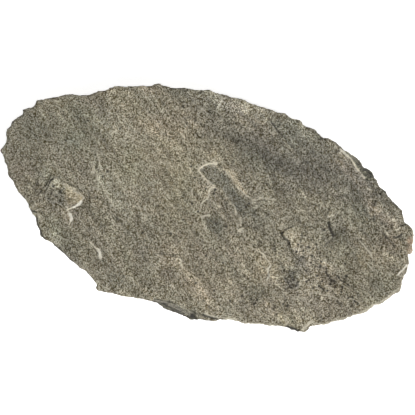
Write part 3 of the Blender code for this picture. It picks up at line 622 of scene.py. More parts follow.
def split(shell, limit_of, looseness):
    """Cuts every edge that is longer than its limit, times the looseness, in two."""
    ends, number = shell.edges()
    length = np.linalg.norm(shell.points[ends[:, 0]] - shell.points[ends[:, 1]], axis=1)
    cut = length > limit_of(ends, number) * looseness
    if not cut.any():
        return
    hard = shell.is_hard(ends)
    new = np.full(len(ends), -1)
    new[cut] = len(shell.points) + np.arange(cut.sum())
    points = np.concatenate([shell.points, shell.points[ends[cut]].mean(axis=1)])
    halves = hard & cut
    kept = np.concatenate([
        ends[hard & ~cut],
        np.stack([ends[halves, 0], new[halves]], axis=1),
        np.stack([ends[halves, 1], new[halves]], axis=1),
    ])
    a, b, c = shell.faces.T
    ab, bc, ca = new[number].T
    cuts = (ab >= 0).astype(int) + (bc >= 0) + (ca >= 0)
    made, regions = [], []

    def add(chosen, *triangles):
        for triangle in triangles:
            made.append(np.stack([corner[chosen] for corner in triangle], axis=1))
            regions.append(shell.region[chosen])

    add(cuts == 0, (a, b, c))
    add(cuts == 3, (a, ab, ca), (ab, b, bc), (ca, bc, c), (ab, bc, ca))
    for p, q, r, pq, qr, rp in ((a, b, c, ab, bc, ca), (b, c, a, bc, ca, ab), (c, a, b, ca, ab, bc)):
        add((cuts == 1) & (pq >= 0), (p, pq, r), (pq, q, r))
        two = (cuts == 2) & (rp < 0)
        # The corner between the two cuts is q; the rest is a four-cornered face, split along its shorter way.
        add(two, (pq, q, qr))
        one_way = np.linalg.norm(points[pq] - points[r], axis=1)
        other_way = np.linalg.norm(points[qr] - points[p], axis=1)
        add(two & (one_way <= other_way), (p, pq, r), (pq, qr, r))
        add(two & (one_way > other_way), (p, pq, qr), (p, qr, r))
    shell.points = points
    shell.faces = np.concatenate(made)
    shell.region = np.concatenate(regions)
    shell.hard = np.sort(kept, axis=1)


def refine(shell):
    """Splits the skin until it is fine enough to carve, finest beside ledges and the rim."""
    # A coarse grid over the plan holds the distance to the nearest hard edge.
    cell, margin, farthest = 6.0, 4, 30.0
    low = shell.points[:, :2].min(axis=0) - margin * cell
    size = ((shell.points[:, :2].max(axis=0) - low) / cell).astype(int) + margin + 2
    grid = np.full(size, farthest)
    places = np.stack(np.meshgrid(*(np.arange(n) for n in size), indexing="ij"), axis=-1) * cell + low
    for x, y, _ in shell.points[np.unique(shell.hard)]:
        np.minimum(grid, np.hypot(places[..., 0] - x, places[..., 1] - y), out=grid)

    def limit_of(ends, number):
        """The longest that each edge may be, from the regions it borders and its distance to a hard edge."""
        step = np.array(LONGEST)[shell.region]
        limit = np.full(len(ends), np.inf)
        np.minimum.at(limit, number.ravel(), np.repeat(step, 3))
        column, row = ((shell.points[ends].mean(axis=1)[:, :2] - low) / cell).round().astype(int).T
        fine = np.minimum(FINE_STEP + COARSER * grid[column, row], limit)
        return np.where(limit <= LONGEST[UPPER], fine, limit)

    for looseness in LOOSENESS:
        split(shell, limit_of, looseness)


def relax(shell):
    """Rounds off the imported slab's flat facets while ledges and the rim stay where they are."""
    held = np.zeros(len(shell.points), bool)
    held[np.unique(shell.hard)] = True
    hard_ends = shell.hard
    inner = np.bincount(hard_ends.ravel(), minlength=len(shell.points)) == 2
    for step in range(RELAX_ROUNDS):
        mean = shell.spread(shell.points)
        shell.points[~held] += RELAX * (mean - shell.points)[~held]
        if step % 3:
            continue
        # A hard line loses its corners too, but only along itself.
        total = sums(hard_ends.T.ravel(), shell.points[hard_ends[:, ::-1].T.ravel()], len(shell.points))
        shell.points[inner] += LINE_RELAX * (total[inner] / 2.0 - shell.points[inner])


def region_shares(shell):
    """For each point, how much of it belongs to the upper face, the wall and the underside."""
    shares = np.zeros((len(shell.points), 3))
    for region in (UPPER, WALL, UNDER):
        corners = shell.faces[shell.region == region]
        shares[:, region] = np.bincount(corners.ravel(), minlength=len(shell.points))
    return shares / shares.sum(axis=1, keepdims=True)


def worn_rim(shell, rounds):
    """1 at the arris between the upper face and the wall, easing off to 0 a few steps away on both sides."""
    upper = region_shares(shell)[:, UPPER]
    rim = np.clip(4.0 * upper * (1.0 - upper), 0.0, 1.0)
    worn = rim
    for _ in range(rounds):
        worn = np.maximum(rim, shell.spread(worn))
    return worn


def normals_of(shell):
    a, b, c = (shell.points[shell.faces[:, i]] for i in range(3))
    face = np.cross(b - a, c - a)
    total = sums(shell.faces.T.ravel(), np.tile(face, (3, 1)), len(shell.points))
    return total / np.linalg.norm(total, axis=1, keepdims=True)


# ---- building node trees -----------------------------------------------------------------------------

class Nodes:
    """A node tree that is put together by calls, each of which gives what its node puts out."""

    def __init__(self, tree):
        self.tree = tree

    def link(self, output, socket):
        self.tree.links.new(output, socket)

    def put(self, kind, inputs=None, **settings):
        """A new node with its settings, whose inputs take values or the outputs of others."""
        made = self.tree.nodes.new(kind)
        for name, value in settings.items():
            setattr(made, name, value)
        for key, value in (inputs or {}).items():
            if isinstance(value, bpy.types.NodeSocket):
                self.link(value, made.inputs[key])
            else:
                made.inputs[key].default_value = value
        return made

    def math(self, operation, *values, clamp=False):
        inputs = dict(enumerate(values))
        return self.put("ShaderNodeMath", inputs, operation=operation, use_clamp=clamp).outputs[0]

    def chain(self, operation, first, *others):
        for other in others:
            first = self.math(operation, first, other)
        return first

    def plus(self, *values):
        return self.chain("ADD", *values)

    def times(self, *values):
        return self.chain("MULTIPLY", *values)

    def minus(self, first, second):
        return self.math("SUBTRACT", first, second)

    def ease(self, value, low, high, to_low=0.0, to_high=1.0):
        """The value's share of the way from low to high."""
        inputs = {"Value": value, "From Min": low, "From Max": high, "To Min": to_low, "To Max": to_high}
        return self.put("ShaderNodeMapRange", inputs).outputs[0]

    def vector(self, operation, first, second):
        key = "Scale" if operation == "SCALE" else 1
        return self.put("ShaderNodeVectorMath", {0: first, key: second}, operation=operation).outputs[0]

    def moved(self, place, shift):
        return self.vector("ADD", place, shift)

    def scaled(self, place, factor):
        return self.vector("SCALE", place, factor)

    def centred(self, colour):
        """A noise's colour as a shift about nothing."""
        return self.vector("SUBTRACT", colour, (0.5, 0.5, 0.5))

    def parts(self, value):
        return self.put("ShaderNodeSeparateXYZ", {0: value}).outputs

    def drawn_out(self, place, turn, stretch):
        """Coordinates turned to the lineation and stretched along it."""
        turned = self.put("ShaderNodeVectorRotate", {"Vector": place, "Angle": turn}, rotation_type="Z_AXIS")
        return self.vector("MULTIPLY", turned.outputs[0], stretch)

    def noise(self, place, scale, detail, roughness=0.5, seed=None):
        """Noise from 0 to 1; the one with a seed has a fourth dimension."""
        inputs = {"Vector": place, "Scale": scale, "Detail": detail, "Roughness": roughness}
        if seed is None:
            return self.put("ShaderNodeTexNoise", inputs).outputs
        return self.put("ShaderNodeTexNoise", {**inputs, "W": seed}, noise_dimensions="4D").outputs

    def cells(self, place, scale, randomness=1.0):
        inputs = {"Vector": place, "Scale": scale, "Randomness": randomness}
        return self.put("ShaderNodeTexVoronoi", inputs).outputs


def ends_of(tree, inputs, outputs):
    """Gives a tree its named inputs and outputs; returns what it is given and what it puts out."""
    for label, value in inputs.items():
        kind = "NodeSocketColor" if isinstance(value, tuple) else "NodeSocketFloat"
        tree.interface.new_socket(label, in_out="INPUT", socket_type=kind).default_value = value
    for label, kind in outputs.items():
        tree.interface.new_socket(label, in_out="OUTPUT", socket_type=kind)
    return tree.nodes.new("NodeGroupInput").outputs, tree.nodes.new("NodeGroupOutput").inputs


# ---- carving -----------------------------------------------------------------------------------------

# What the carving tree is given: the lineation's angle, heights and lengths in metres, and the noise's seed.
CARVING = {
    "Lineation": GRAIN_TURN,
    "Swell Height": 0.0020,
    "Swell Length": 0.024,
    "Lump Height": 0.0022,
    "Lump Size": 0.0085,
    "Plate Height": 0.0020,
    "Plate Size": 0.019,
    "Chip Height": 0.0013,
    "Chip Size": 0.0075,
    "Grit Height": 0.0011,
    "Grit Size": 0.0030,
    "Pit Depth": 0.0012,
    "Pit Spacing": 0.0052,
    "Flaked Spacing": 0.055,
    "Lumpy Spacing": 0.048,
    "Bed Depth": 0.0036,
    "Bed Thickness": 0.0021,
    "Bite Depth": 0.0026,
    "Bite Size": 0.0105,
    "Wall Lift": 0.0004,
    "Under Height": 0.0007,
    "Under Length": 0.020,
    "Under Grit": 0.0003,
    "Under Lift": 0.0001,
    "Edge Wander": 0.0022,
    "Wander Length": 0.007,
    "Fine Wander Length": 0.0028,
    "Seed": 5.0,
}


# How much shorter (below 1) or longer each kind of form is along the lineation, across it and upwards.
SWELL_STRETCH = (0.5, 1.5, 1.0)
LUMP_STRETCH = (0.7, 1.3, 1.0)
PLATE_STRETCH = (0.55, 1.25, 1.0)
CHIP_STRETCH = (0.8, 1.2, 1.0)
BED_STRETCH = (0.16, 0.16, 1.0)

TABLE_SHIFT = 1.7  # keeps one layer of tables off another
TABLE_TILT = 1.1
FINE_WANDER = 0.55  # the finer wander's share of the broad one


def carving_tree(weathered, broken):
    """Cleft waves, lifted plates, chips, grit and pits above; broken beds and hammer bites round the rim."""
    tree = bpy.data.node_groups.new("carve stone", "GeometryNodeTree")
    tree.interface.new_socket("Geometry", in_out="INPUT", socket_type="NodeSocketGeometry")
    given, taken = ends_of(tree, CARVING, {"Geometry": "NodeSocketGeometry"})
    n = Nodes(tree)

    def noise_over(place, seed, detail, roughness=0.55):
        return n.noise(place, 1.0, detail, roughness, n.plus(given["Seed"], seed))

    def wave(place, seed, detail=3.0, roughness=0.55):
        """Noise about -1 to 1 over coordinates already divided by their wavelength."""
        return n.times(n.minus(noise_over(place, seed, detail, roughness)["Fac"], 0.5), 2.0)

    def bent_by(amount, where, size, seed):
        """Places shifted every way by noise of a size."""
        found = noise_over(n.scaled(where, 1.0 / size), seed, 2.0)
        return n.moved(where, n.scaled(n.centred(found["Color"]), amount))

    def over(place, size):
        return n.scaled(place, n.math("DIVIDE", 1.0, given[size]))

    def tables(where, size, seed):
        """Tilted tables, one to a cell: the height from -1 to 1."""
        shifted = n.moved(over(where, size), (seed, seed * TABLE_SHIFT, 0.0))
        found = n.cells(shifted, 1.0, 0.95)
        offset = n.vector("SUBTRACT", shifted, found["Position"])
        lean = {0: n.centred(found["Color"]), 1: offset}
        tilt = n.put("ShaderNodeVectorMath", lean, operation="DOT_PRODUCT").outputs["Value"]
        return n.plus(n.minus(n.parts(found["Color"])[0], 0.5), n.times(tilt, TABLE_TILT))

    def named(name, kind="FLOAT"):
        return n.put("GeometryNodeInputNamedAttribute", {"Name": name}, data_type=kind).outputs[0]

    place = n.put("GeometryNodeInputPosition").outputs[0]
    normal = n.put("GeometryNodeInputNormal").outputs[0]
    back = n.times(given["Lineation"], -1.0)

    # The upper face.
    swell = wave(over(n.drawn_out(place, back, SWELL_STRETCH), "Swell Length"), 1.0)
    lump = wave(over(n.drawn_out(place, back, LUMP_STRETCH), "Lump Size"), 2.0)
    grit = wave(over(place, "Grit Size"), 3.0, 2.0, 0.6)
    bent = bent_by(0.004, bent_by(0.016, place, 0.016, 4.0), 0.005, 5.0)
    plate = tables(n.drawn_out(bent, back, PLATE_STRETCH), "Plate Size", 0.0)
    chip = tables(n.drawn_out(bent, back, CHIP_STRETCH), "Chip Size", 9.0)
    flaked = n.plus(wave(over(place, "Flaked Spacing"), 6.0, 2.0), named("flaky"))
    flaked = n.ease(flaked, -0.25, 0.35, 0.15, 1.0)
    lumpy = n.plus(wave(over(place, "Lumpy Spacing"), 7.0, 2.0), named("flaky"))
    lumpy = n.ease(lumpy, -0.3, 0.4, 0.35, 1.0)
    pits = n.cells(over(bent_by(0.002, place, 0.004, 8.0), "Pit Spacing"), 1.0)
    dropped = n.plus(n.parts(pits["Color"])[0], n.times(lumpy, 0.35))
    pit = n.times(n.ease(pits["Distance"], 0.34, 0.10), n.ease(dropped, 0.78, 0.86))
    upper = n.plus(
        n.times(swell, given["Swell Height"]),
        n.times(lump, lumpy, given["Lump Height"]),
        n.times(plate, flaked, given["Plate Height"]),
        n.times(chip, flaked, lumpy, given["Chip Height"]),
        n.times(grit, given["Grit Height"]),
        n.times(pit, given["Pit Depth"], -1.0),
    )

    # The rim's wall.
    flat = n.vector("MULTIPLY", bent_by(0.006, place, 0.03, 10.0), BED_STRETCH)
    beds = wave(over(flat, "Bed Thickness"), 11.0, 2.0, 0.5)
    bite = tables(bent_by(0.008, place, 0.012, 12.0), "Bite Size", 3.0)
    wall = n.plus(
        n.times(beds, given["Bed Depth"], 0.5),
        n.times(bite, given["Bite Depth"], 0.5),
        n.times(grit, given["Grit Height"], 1.3),
        n.times(lump, given["Lump Height"], 0.6),
        given["Wall Lift"],
    )

    # The underside, which nothing pushes below the flat that it rests on.
    low = n.times(wave(over(place, "Under Length"), 13.0), given["Under Height"])
    under = n.math("MAXIMUM", n.plus(low, n.times(grit, given["Under Grit"]), given["Under Lift"]), 0.0)

    rise = n.plus(n.times(upper, named("upper")), n.times(wall, named("wall")))
    lift = n.put("ShaderNodeCombineXYZ", {"Z": n.times(under, named("under"))}).outputs[0]
    broad = noise_over(over(place, "Wander Length"), 14.0, 2.0)["Color"]
    fine = noise_over(over(place, "Fine Wander Length"), 15.0, 1.0)["Color"]
    middle = 0.5 * (1.0 + FINE_WANDER)
    wander = n.vector("SUBTRACT", n.moved(broad, n.scaled(fine, FINE_WANDER)), (middle, middle, middle))
    wander = n.vector("MULTIPLY", wander, (1.0, 1.0, 0.0))
    share = n.times(given["Edge Wander"], n.plus(named("upper"), n.times(named("wall"), 0.6)))
    shift = n.moved(n.moved(n.scaled(normal, rise), lift), n.scaled(wander, share))

    stone = n.put("GeometryNodeSetPosition", {"Geometry": given["Geometry"], "Offset": shift}).outputs[0]
    # the carved pits' depth, kept for the painted shade in them
    kept = {"Geometry": stone, "Name": "pit", "Value": n.times(pit, named("upper"))}
    stone = n.put("GeometryNodeStoreNamedAttribute", kept, data_type="FLOAT", domain="POINT").outputs[0]
    stone = n.put("GeometryNodeRealizeInstances", {"Geometry": stone}).outputs[0]
    stone = n.put("GeometryNodeSetMaterial", {"Geometry": stone, "Material": weathered}).outputs[0]
    rim = {"Geometry": stone, "Selection": named("is_broken", "BOOLEAN"), "Material": broken}
    n.link(n.put("GeometryNodeSetMaterial", rim).outputs[0], taken["Geometry"])
    return tree


def store(data, name, values, domain="POINT"):
    """Keeps values on the mesh under a name: numbers, vectors, or yes and no."""
    if values.dtype == bool:
        data.attributes.new(name, "BOOLEAN", domain).data.foreach_set("value", values)
        return
    kind, field = ("FLOAT", "value") if values.ndim == 1 else ("FLOAT_VECTOR", "vector")
    data.attributes.new(name, kind, domain).data.foreach_set(field, values.astype(np.float32).ravel())


def in_scene(name, data):
    """A new object, standing in the scene."""
    made = bpy.data.objects.new(name, data)
    bpy.context.scene.collection.objects.link(made)
    return made


def wear(shell, soft):
    """Wears the arris off, more where the hammer has chipped it, and pushes out the spalls' feet."""
    drop = ARRIS_DROP + ARRIS_SPREAD * rough(shell.points, ARRIS_WAVE, ARRIS_SEED)
    shell.points[:, 2] -= worn_rim(shell, ARRIS_ROUNDS) * np.clip(drop, 0.0, ARRIS_MOST)
    outward = normals_of(shell) * (1.0, 1.0, 0.0)
    for spall in SPALLS:
        gap, share, _ = distance_to_run(shell.points, spall.run)
        ends = smooth(np.minimum(share, 1.0 - share) * SPALL_TAPER)
        reach = spall.push * (1.0 - smooth(gap / (spall.reach + SPALL_FADE))) * ends
        low = 1.0 - smooth((shell.points[:, 2] - SPALL_FOOT) / SPALL_FADE)
        shell.points += outward * (reach * low * soft[:, WALL])[:, None]


def carve(shell, weathered, broken):
    """Runs the carving tree over the skin and returns the plain mesh that comes out."""
    soft = region_shares(shell)
    for _ in range(2):
        soft = 0.5 * soft + 0.5 * shell.spread(soft)
    plates = plate_fields(shell.points)
    shell.points[:, 2] += plates.rise * soft[:, UPPER]
    wear(shell, soft)
    data = bpy.data.meshes.new("flagstone")
    data.from_pydata((shell.points * MM).tolist(), [], shell.faces.tolist())
    data.polygons.foreach_set("use_smooth", np.ones(len(shell.faces), bool))
    for region, name in ((UPPER, "upper"), (WALL, "wall"), (UNDER, "under")):
        store(data, name, soft[:, region])
    store(data, "flaky", patch_sum(shell.points, FLAKY) - PLAIN_SMOOTH * plates.plain)
    store(data, "is_broken", shell.region == WALL, "FACE")
    made = in_scene("flagstone", data)
    modifier = made.modifiers.new("carve", "NODES")
    modifier.node_group = carving_tree(weathered, broken)
    for item in modifier.node_group.interface.items_tree:
        if item.in_out == "INPUT" and item.name in CARVING:
            modifier[item.identifier] = CARVING[item.name]
    graph = bpy.context.evaluated_depsgraph_get()
    carved = bpy.data.meshes.new_from_object(made.evaluated_get(graph))
    bpy.data.objects.remove(made)
    places = np.empty(len(carved.vertices) * 3)
    carved.vertices.foreach_get("co", places)
    shell.points = places.reshape(-1, 3) / MM
    return carved


def fit_in_box(shell):
    """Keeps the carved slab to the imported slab's box."""
    low, high = (np.array(corner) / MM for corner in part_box(SLAB))
    points = shell.points
    for axis in (0, 1):
        least, most = points[:, axis].min(), points[:, axis].max()
        share = (points[:, axis] - least) / (most - least)
        points[:, axis] = low[axis] + share * (high[axis] - low[axis])
    points[:, 2] = np.maximum(points[:, 2], 0.0)
    over = points[:, 2].max() - high[2]
    share = smooth((points[:, 2] - high[2] + TOP_EASE) / (TOP_EASE + over))
    points[:, 2] -= share * over


# ---- marks that the stone's materials read -----------------------------------------------------------

NO_LINE = (4.0, -4.0, 0.0)  # an offset and a half width that no line reaches
NO_PIT = (4.0, 4.0, -4.0)
LINE_REACH = 3.6  # marks keep their distances this far out
PIT_REACH = 5.0
PLATE_REACH = 5.0
LINE_TAPER = 6.0  # how fast a longer line fills out from its tips
LINE_TIP = 0.55  # and how full it is there
LINE_OVERHANG = 0.8  # how far a line runs on past its tips, in half widths
PLATE_EDGE = 2.2  # a plate's edge is this soft
PLATE_RAGGED = 1.5
PLATE_WAVE = 7.0
PATCH_WAVE = 22.0
PATCH_BEND = 6.0  # soft areas are bent this far
PATCH_FADE = 0.8  # how fast they fade outwards
HOLLOW_ROUNDS = 6  # a hollow is judged against the ground this many steps around it, a basin against more
BASIN_ROUNDS = 40
SHADE_FADE = 3.0  # how fast the hollows' shade fades out towards the arris
FACES_UP = 0.02  # marks show where the surface looks up at least this much


def on_slab(run):
    """Places on the plan as places on the slab."""
    right, down = (np.array(run, float) - PLAN_MIDDLE).T * PLAN_STEP
    cosine, sine = math.cos(TURN), math.sin(TURN)
    x, y = right * cosine + down * sine, right * sine - down * cosine
    return np.stack([x, y], axis=1) + PLAN_SHIFT


def close_to(points, run, reach):
    """The numbers of the points that lie within a reach of a run's own box."""
    low, high = run.min(axis=0) - reach, run.max(axis=0) + reach
    return np.flatnonzero(np.all((points[:, :2] > low) & (points[:, :2] < high), axis=1))


def line_field(points, lines):
    """For each point near a line: how far to its left or right it lies, the half width there, the strength.

    The offset has a sign, so it runs evenly through zero, and a thin line stays crisp on faces wider than it.
    """
    field = np.tile(NO_LINE, (len(points), 1))
    nearest = np.full(len(points), LINE_REACH)
    for line in lines:
        run = on_slab(line.run)
        near = close_to(points, run, LINE_REACH)
        gap, share, side = distance_to_run(points[near], run)
        ends = smooth(np.minimum(share, 1.0 - share) * LINE_TAPER + (LINE_TIP if len(run) > 2 else 1.0))
        beyond = ((share <= 0.0) | (share >= 1.0)) & (gap > LINE_OVERHANG * line.width)
        closer = (gap < nearest[near]) & ~beyond
        at = near[closer]
        nearest[at] = gap[closer]
        strength = np.full(len(at), line.strength)
        field[at] = np.stack([(side * gap)[closer], line.width * ends[closer], strength], axis=1)
    return field


def pit_field(points):
    """For each point near a listed pit: the way to its middle, and its radius."""
    field = np.tile(NO_PIT, (len(points), 1))
    nearest = np.full(len(points), PIT_REACH)
    places = on_slab([pit[:2] for pit in PITS])
    for place, (_, _, radius) in zip(places, PITS):
        near = close_to(points, place[None, :], PIT_REACH)
        offset = points[near, :2] - place
        gap = np.hypot(*offset.T)
        closer = gap < nearest[near]
        at = near[closer]
        nearest[at] = gap[closer]
        field[at] = np.column_stack([offset[closer], np.full(len(at), radius)])
    return field


def inside_by(points, outline):
    """How far inside an outline each point lies; below 0 outside."""
    closed = np.concatenate([outline, outline[:1]])
    gap, _, _ = distance_to_run(points, closed)
    x, y = points[:, 0], points[:, 1]
    inside = np.zeros(len(points), bool)
    for (ax, ay), (bx, by) in zip(closed[:-1], closed[1:]):
        crosses = (ay > y) != (by > y)
        inside ^= crosses & (x < (bx - ax) * (y - ay) / (by - ay + 1e-9) + ax)
    return np.where(inside, gap, -gap)


PlateFields = namedtuple("PlateFields", "rise plain light warm")


def plate_fields(points):
    """What the plates add up to at each point."""
    ragged = PLATE_RAGGED * rough(points, PLATE_WAVE, PLATE_SEED)
    total = np.zeros((len(points), 4))
    for plate in PLATES:
        outline = on_slab(plate.outline)
        near = close_to(points, outline, PLATE_REACH)
        share = smooth((inside_by(points[near], outline) + ragged[near]) / PLATE_EDGE + 0.5)
        total[near] += share[:, None] * np.array(plate[1:])
    return PlateFields(*total.T)


def patch_sum(points, patches):
    """What soft-edged areas add up to at each point, one value or several."""
    bend = np.stack([rough(points, PATCH_WAVE, seed) for seed in PATCH_SEEDS], axis=1)
    x, y = (points[:, :2] + PATCH_BEND * bend).T
    total = 0.0
    for px, py, length, width, turn, *values in patches:
        cosine, sine = math.cos(math.radians(turn)), math.sin(math.radians(turn))
        along = (x - px) * cosine + (y - py) * sine
        across = -(x - px) * sine + (y - py) * cosine
        share = np.exp(-PATCH_FADE * ((along / length) ** 2 + (across / width) ** 2))
        total = total + np.array(values)[:, None] * share
    return total if len(total) > 1 else total[0]


def hollows(shell, rounds):
    """How far each point lies below (positive) or above the ground around it, in millimetres."""
    mean = shell.points.copy()
    for _ in range(rounds):
        mean = 0.5 * mean + 0.5 * shell.spread(mean)
    return ((mean - shell.points) * normals_of(shell)).sum(axis=1)


def spall_tone(points):
    total = np.zeros(len(points))
    for spall in SPALLS:
        gap, _, _ = distance_to_run(points, spall.run)
        total += spall.light * (1.0 - smooth((gap - spall.reach) / SPALL_BLEND))
    return total


def stain_field(points):
    """1 in the middle of a rusty stain, 0 from its edge on."""
    stain = np.zeros(len(points))
    for x, y, radius in STAINS:
        gap = np.hypot(points[:, 0] - x, points[:, 1] - y)
        stain = np.maximum(stain, 1.0 - smooth(gap / radius))
    return stain


def marks_of(shell):
    """Everything that the materials read from the mesh, by name."""
    points = shell.points
    shares = region_shares(shell)
    upper = shares[:, UPPER]
    top = upper > 0.0
    plates = plate_fields(points)
    light, warm, rosy = patch_sum(points, PATCHES)
    on_top = (top | (normals_of(shell)[:, 2] > FACES_UP))[:, None]
    inner = 1.0 - smooth(SHADE_FADE * worn_rim(shell, SHADE_ROUNDS)) * top
    return {
        "tone": (plates.light + light) * top + spall_tone(points) * shares[:, WALL],
        "warmth": (plates.warm + warm) * top,
        "rosiness": rosy * top,
        "bruise": np.where(on_top, line_field(points, BRUISES), NO_LINE),
        "shade_line": np.where(on_top, line_field(points, SHADE_LINES), NO_LINE),
        "pit_shade": np.where(on_top, pit_field(points), NO_PIT),
        "stain": stain_field(points),
        # how far each point lies below the ground around it, for painted shade in hollows and basins and
        # painted light on bumps
        "hollow": hollows(shell, HOLLOW_ROUNDS) * inner,
        "basin": hollows(shell, BASIN_ROUNDS) * inner,
        "lively": (patch_sum(points, FLAKY) - PLAIN_CALM * plates.plain) * upper,
        "arris": worn_rim(shell, 1),
    }


# ---- the mesh ----------------------------------------------------------------------------------------

# The skin's flat layout for baking, in millimetres.
LAYOUT = 500.0  # across the whole of it
UPPER_MIDDLE = (244.0, 132.0)
UNDER_MIDDLE = (136.0, 345.0)
UNDER_SCALE = (0.55, -0.55)  # the underside is drawn smaller, and mirrored
WALL_START = (285.0, 268.0)
WALL_RUNS = 6
WALL_RUN_LENGTH = 205.0
WALL_RUN_STEP = 38.0  # from one run of the wall to the next
SLAB_RATIO = 1.9  # the slab's length over its width


def bake_layout(shell):
    """A flat layout of the skin: the upper face, the underside and the wall, which is unrolled in runs."""
    corner = shell.points[shell.faces]
    place = np.zeros((len(shell.faces), 3, 2))
    top, under, wall = (shell.region == region for region in (UPPER, UNDER, WALL))
    place[top] = corner[top][..., :2] + UPPER_MIDDLE
    place[under] = corner[under][..., :2] * UNDER_SCALE + UNDER_MIDDLE
    # Each piece of the wall goes to the run that its middle faces, seen from the slab's own middle.
    x, y, z = np.moveaxis(corner[wall], -1, 0)
    angle = np.arctan2(y * SLAB_RATIO, x)
    middle = np.arctan2(y.mean(axis=1) * SLAB_RATIO, x.mean(axis=1))
    turn = (angle - middle[:, None] + math.pi) % (2.0 * math.pi) + middle[:, None]
    share = (middle + math.pi) / (2.0 * math.pi)
    run = np.clip((share * WALL_RUNS).astype(int), 0, WALL_RUNS - 1)
    along = (turn / (2.0 * math.pi) * WALL_RUNS - run[:, None]) * WALL_RUN_LENGTH
    place[wall, :, 0] = along + WALL_START[0]
    place[wall, :, 1] = z + WALL_START[1] + run[:, None] * WALL_RUN_STEP
    return place.reshape(-1, 2) / LAYOUT


def dress(data, shell, marks):
    """The finished piece: the carved mesh in its final place, with its marks and its layout."""
    data.vertices.foreach_set("co", (shell.points * MM).ravel())
    for name, values in marks.items():
        store(data, name, values)
    for name in ("upper", "wall", "under", "flaky", "is_broken"):
        data.attributes.remove(data.attributes[name])
    layout = data.uv_layers.new(name="OFBake")
    layout.uv.foreach_set("vector", bake_layout(shell).astype(np.float32).ravel())
    data.update()
    return in_scene("flagstone", data)


# ---- effects that both of the stone's materials use --------------------------------------------------

class Looks(Nodes):
    """Nodes of a material, or of an effect that materials share."""

    def blend(self, share, first, second, how="MIX"):
        inputs = {0: share, 6: first, 7: second}
        return self.put("ShaderNodeMix", inputs, data_type="RGBA", blend_type=how).outputs[2]

    def place(self):
        return self.put("ShaderNodeTexCoord").outputs["Object"]

    def mark(self, name):
        return self.put("ShaderNodeAttribute", attribute_name=name).outputs["Fac"]

    def mark_parts(self, name):
        return self.parts(self.put("ShaderNodeAttribute", attribute_name=name).outputs["Vector"])

    def along_grain(self, stretch):
        """Object coordinates turned to the lineation and drawn out along it."""
        scale = self.put("ShaderNodeCombineXYZ", {"X": stretch, "Y": 1.0, "Z": 1.0}).outputs[0]
        return self.drawn_out(self.place(), -GRAIN_TURN, scale)

    def use(self, name, inputs=None):
        """A shared effect, placed with its own values."""
        return self.put("ShaderNodeGroup", inputs, node_tree=bpy.data.node_groups[name]).outputs


def effect(name, inputs, outputs):
    """An empty shader group: what builds it, what it is given and what it puts out."""
    tree = bpy.data.node_groups.new(name, "ShaderNodeTree")
    given, taken = ends_of(tree, inputs, outputs)
    return Looks(tree), given, taken


DARK = (0.054, 0.041, 0.012, 1.0)
MIDDLE = (0.261, 0.227, 0.154, 1.0)
PALE = (0.54, 0.515, 0.425, 1.0)
BROKEN_DARK = (0.036, 0.032, 0.020, 1.0)
BROKEN_MIDDLE = (0.130, 0.120, 0.083, 1.0)
BROKEN_PALE = (0.40, 0.375, 0.285, 1.0)
CREAM = (0.76, 0.705, 0.56, 1.0)
CHALK = (0.92, 0.89, 0.81, 1.0)
# the near-black of painted shade, for the dark lines and the listed pits
PAINTED_SHADE = (0.035, 0.031, 0.024, 1.0)
RUST = (0.56, 0.38, 0.26, 1.0)
WARM = (1.05, 1.0, 0.90, 1.0)
COOL = (0.965, 1.0, 1.02, 1.0)
ROSY = (1.035, 0.98, 1.02, 1.0)
GREEN = (0.97, 1.015, 0.965, 1.0)
LIGHTEN = 1.32  # one step of tone is this much lighter
SHADE_LINE_LEAST = 0.85  # how dense a line stays on the grains that wear first
BRUISE_LEAST = 0.55

# The mineral grain. A noise's scale is in waves to the metre; a size is in metres.
GRAIN_BEND_SCALE = 500.0
GRAIN_BEND = 0.0008  # how far a grain's outline is bent
CLUMP_SCALE = 150.0
RARE = 2.2  # the higher, the fewer grains are far from the middle shade
RARE_SHADE = 3.0
PLAIN_SHADE = 0.25
# Dark flecks and pale glints: density beside the grains', where they start and are full, and their shade.
FLECKS = [("Flecks", 0.42, 0.94, 0.985, -1.0), ("Glints", 0.5, 0.96, 1.01, 0.85)]


def mineral_grain():
    """Interlocked grains, each with its own shade, dark flecks and pale glints among them."""
    n, given, taken = effect(
        "mineral grain",
        {
            "Grain Size": 0.0010, "Along Grain": 1.0, "Clumping": 0.5, "Contrast": 1.0,
            "Flecks": 0.0, "Glints": 0.0, "Dark": DARK, "Middle": MIDDLE, "Pale": PALE,
        },
        {"Color": "NodeSocketColor", "Grain": "NodeSocketFloat", "Height": "NodeSocketFloat"},
    )
    place = n.along_grain(given["Along Grain"])
    density = n.math("DIVIDE", 1.0, given["Grain Size"])
    bend = n.centred(n.noise(place, GRAIN_BEND_SCALE, 1.0)["Color"])
    bent = n.moved(place, n.scaled(bend, GRAIN_BEND))

    def grains(scale):
        found = n.cells(bent, scale)
        return found["Distance"], n.parts(found["Color"])

    def about(value, amount):
        return n.times(n.minus(value, 0.5), amount)

    gap, chance = grains(density)
    # Most grains are middling; a few run on to dark or pale.
    apart = about(chance[0], 1.0)
    shade = n.times(n.math("POWER", n.math("ABSOLUTE", apart), RARE), n.math("SIGN", apart))
    shade = n.plus(n.times(shade, RARE_SHADE), n.times(apart, PLAIN_SHADE))
    clump = n.noise(place, CLUMP_SCALE, 3.0, 0.65)["Fac"]
    shade = n.times(n.plus(shade, n.times(about(clump, 0.5), given["Clumping"])), given["Contrast"])
    for label, scale, low, high, sign in FLECKS:
        fleck_gap, fleck_chance = grains(n.times(density, scale))
        crowded = n.plus(fleck_chance[1], n.times(about(clump, -sign), 0.9), given[label])
        found = n.times(n.ease(crowded, low, high), n.ease(fleck_gap, 0.62, 0.40))
        shade = n.plus(shade, n.times(found, sign))
    shade = n.math("ADD", shade, 0.5, clamp=True)
    low = n.blend(n.ease(shade, 0.0, 0.5), given["Dark"], given["Middle"])
    n.link(n.blend(n.ease(shade, 0.5, 1.0), low, given["Pale"]), taken["Color"])
    n.link(chance[2], taken["Grain"])
    n.link(n.minus(chance[1], n.times(gap, 0.6)), taken["Height"])


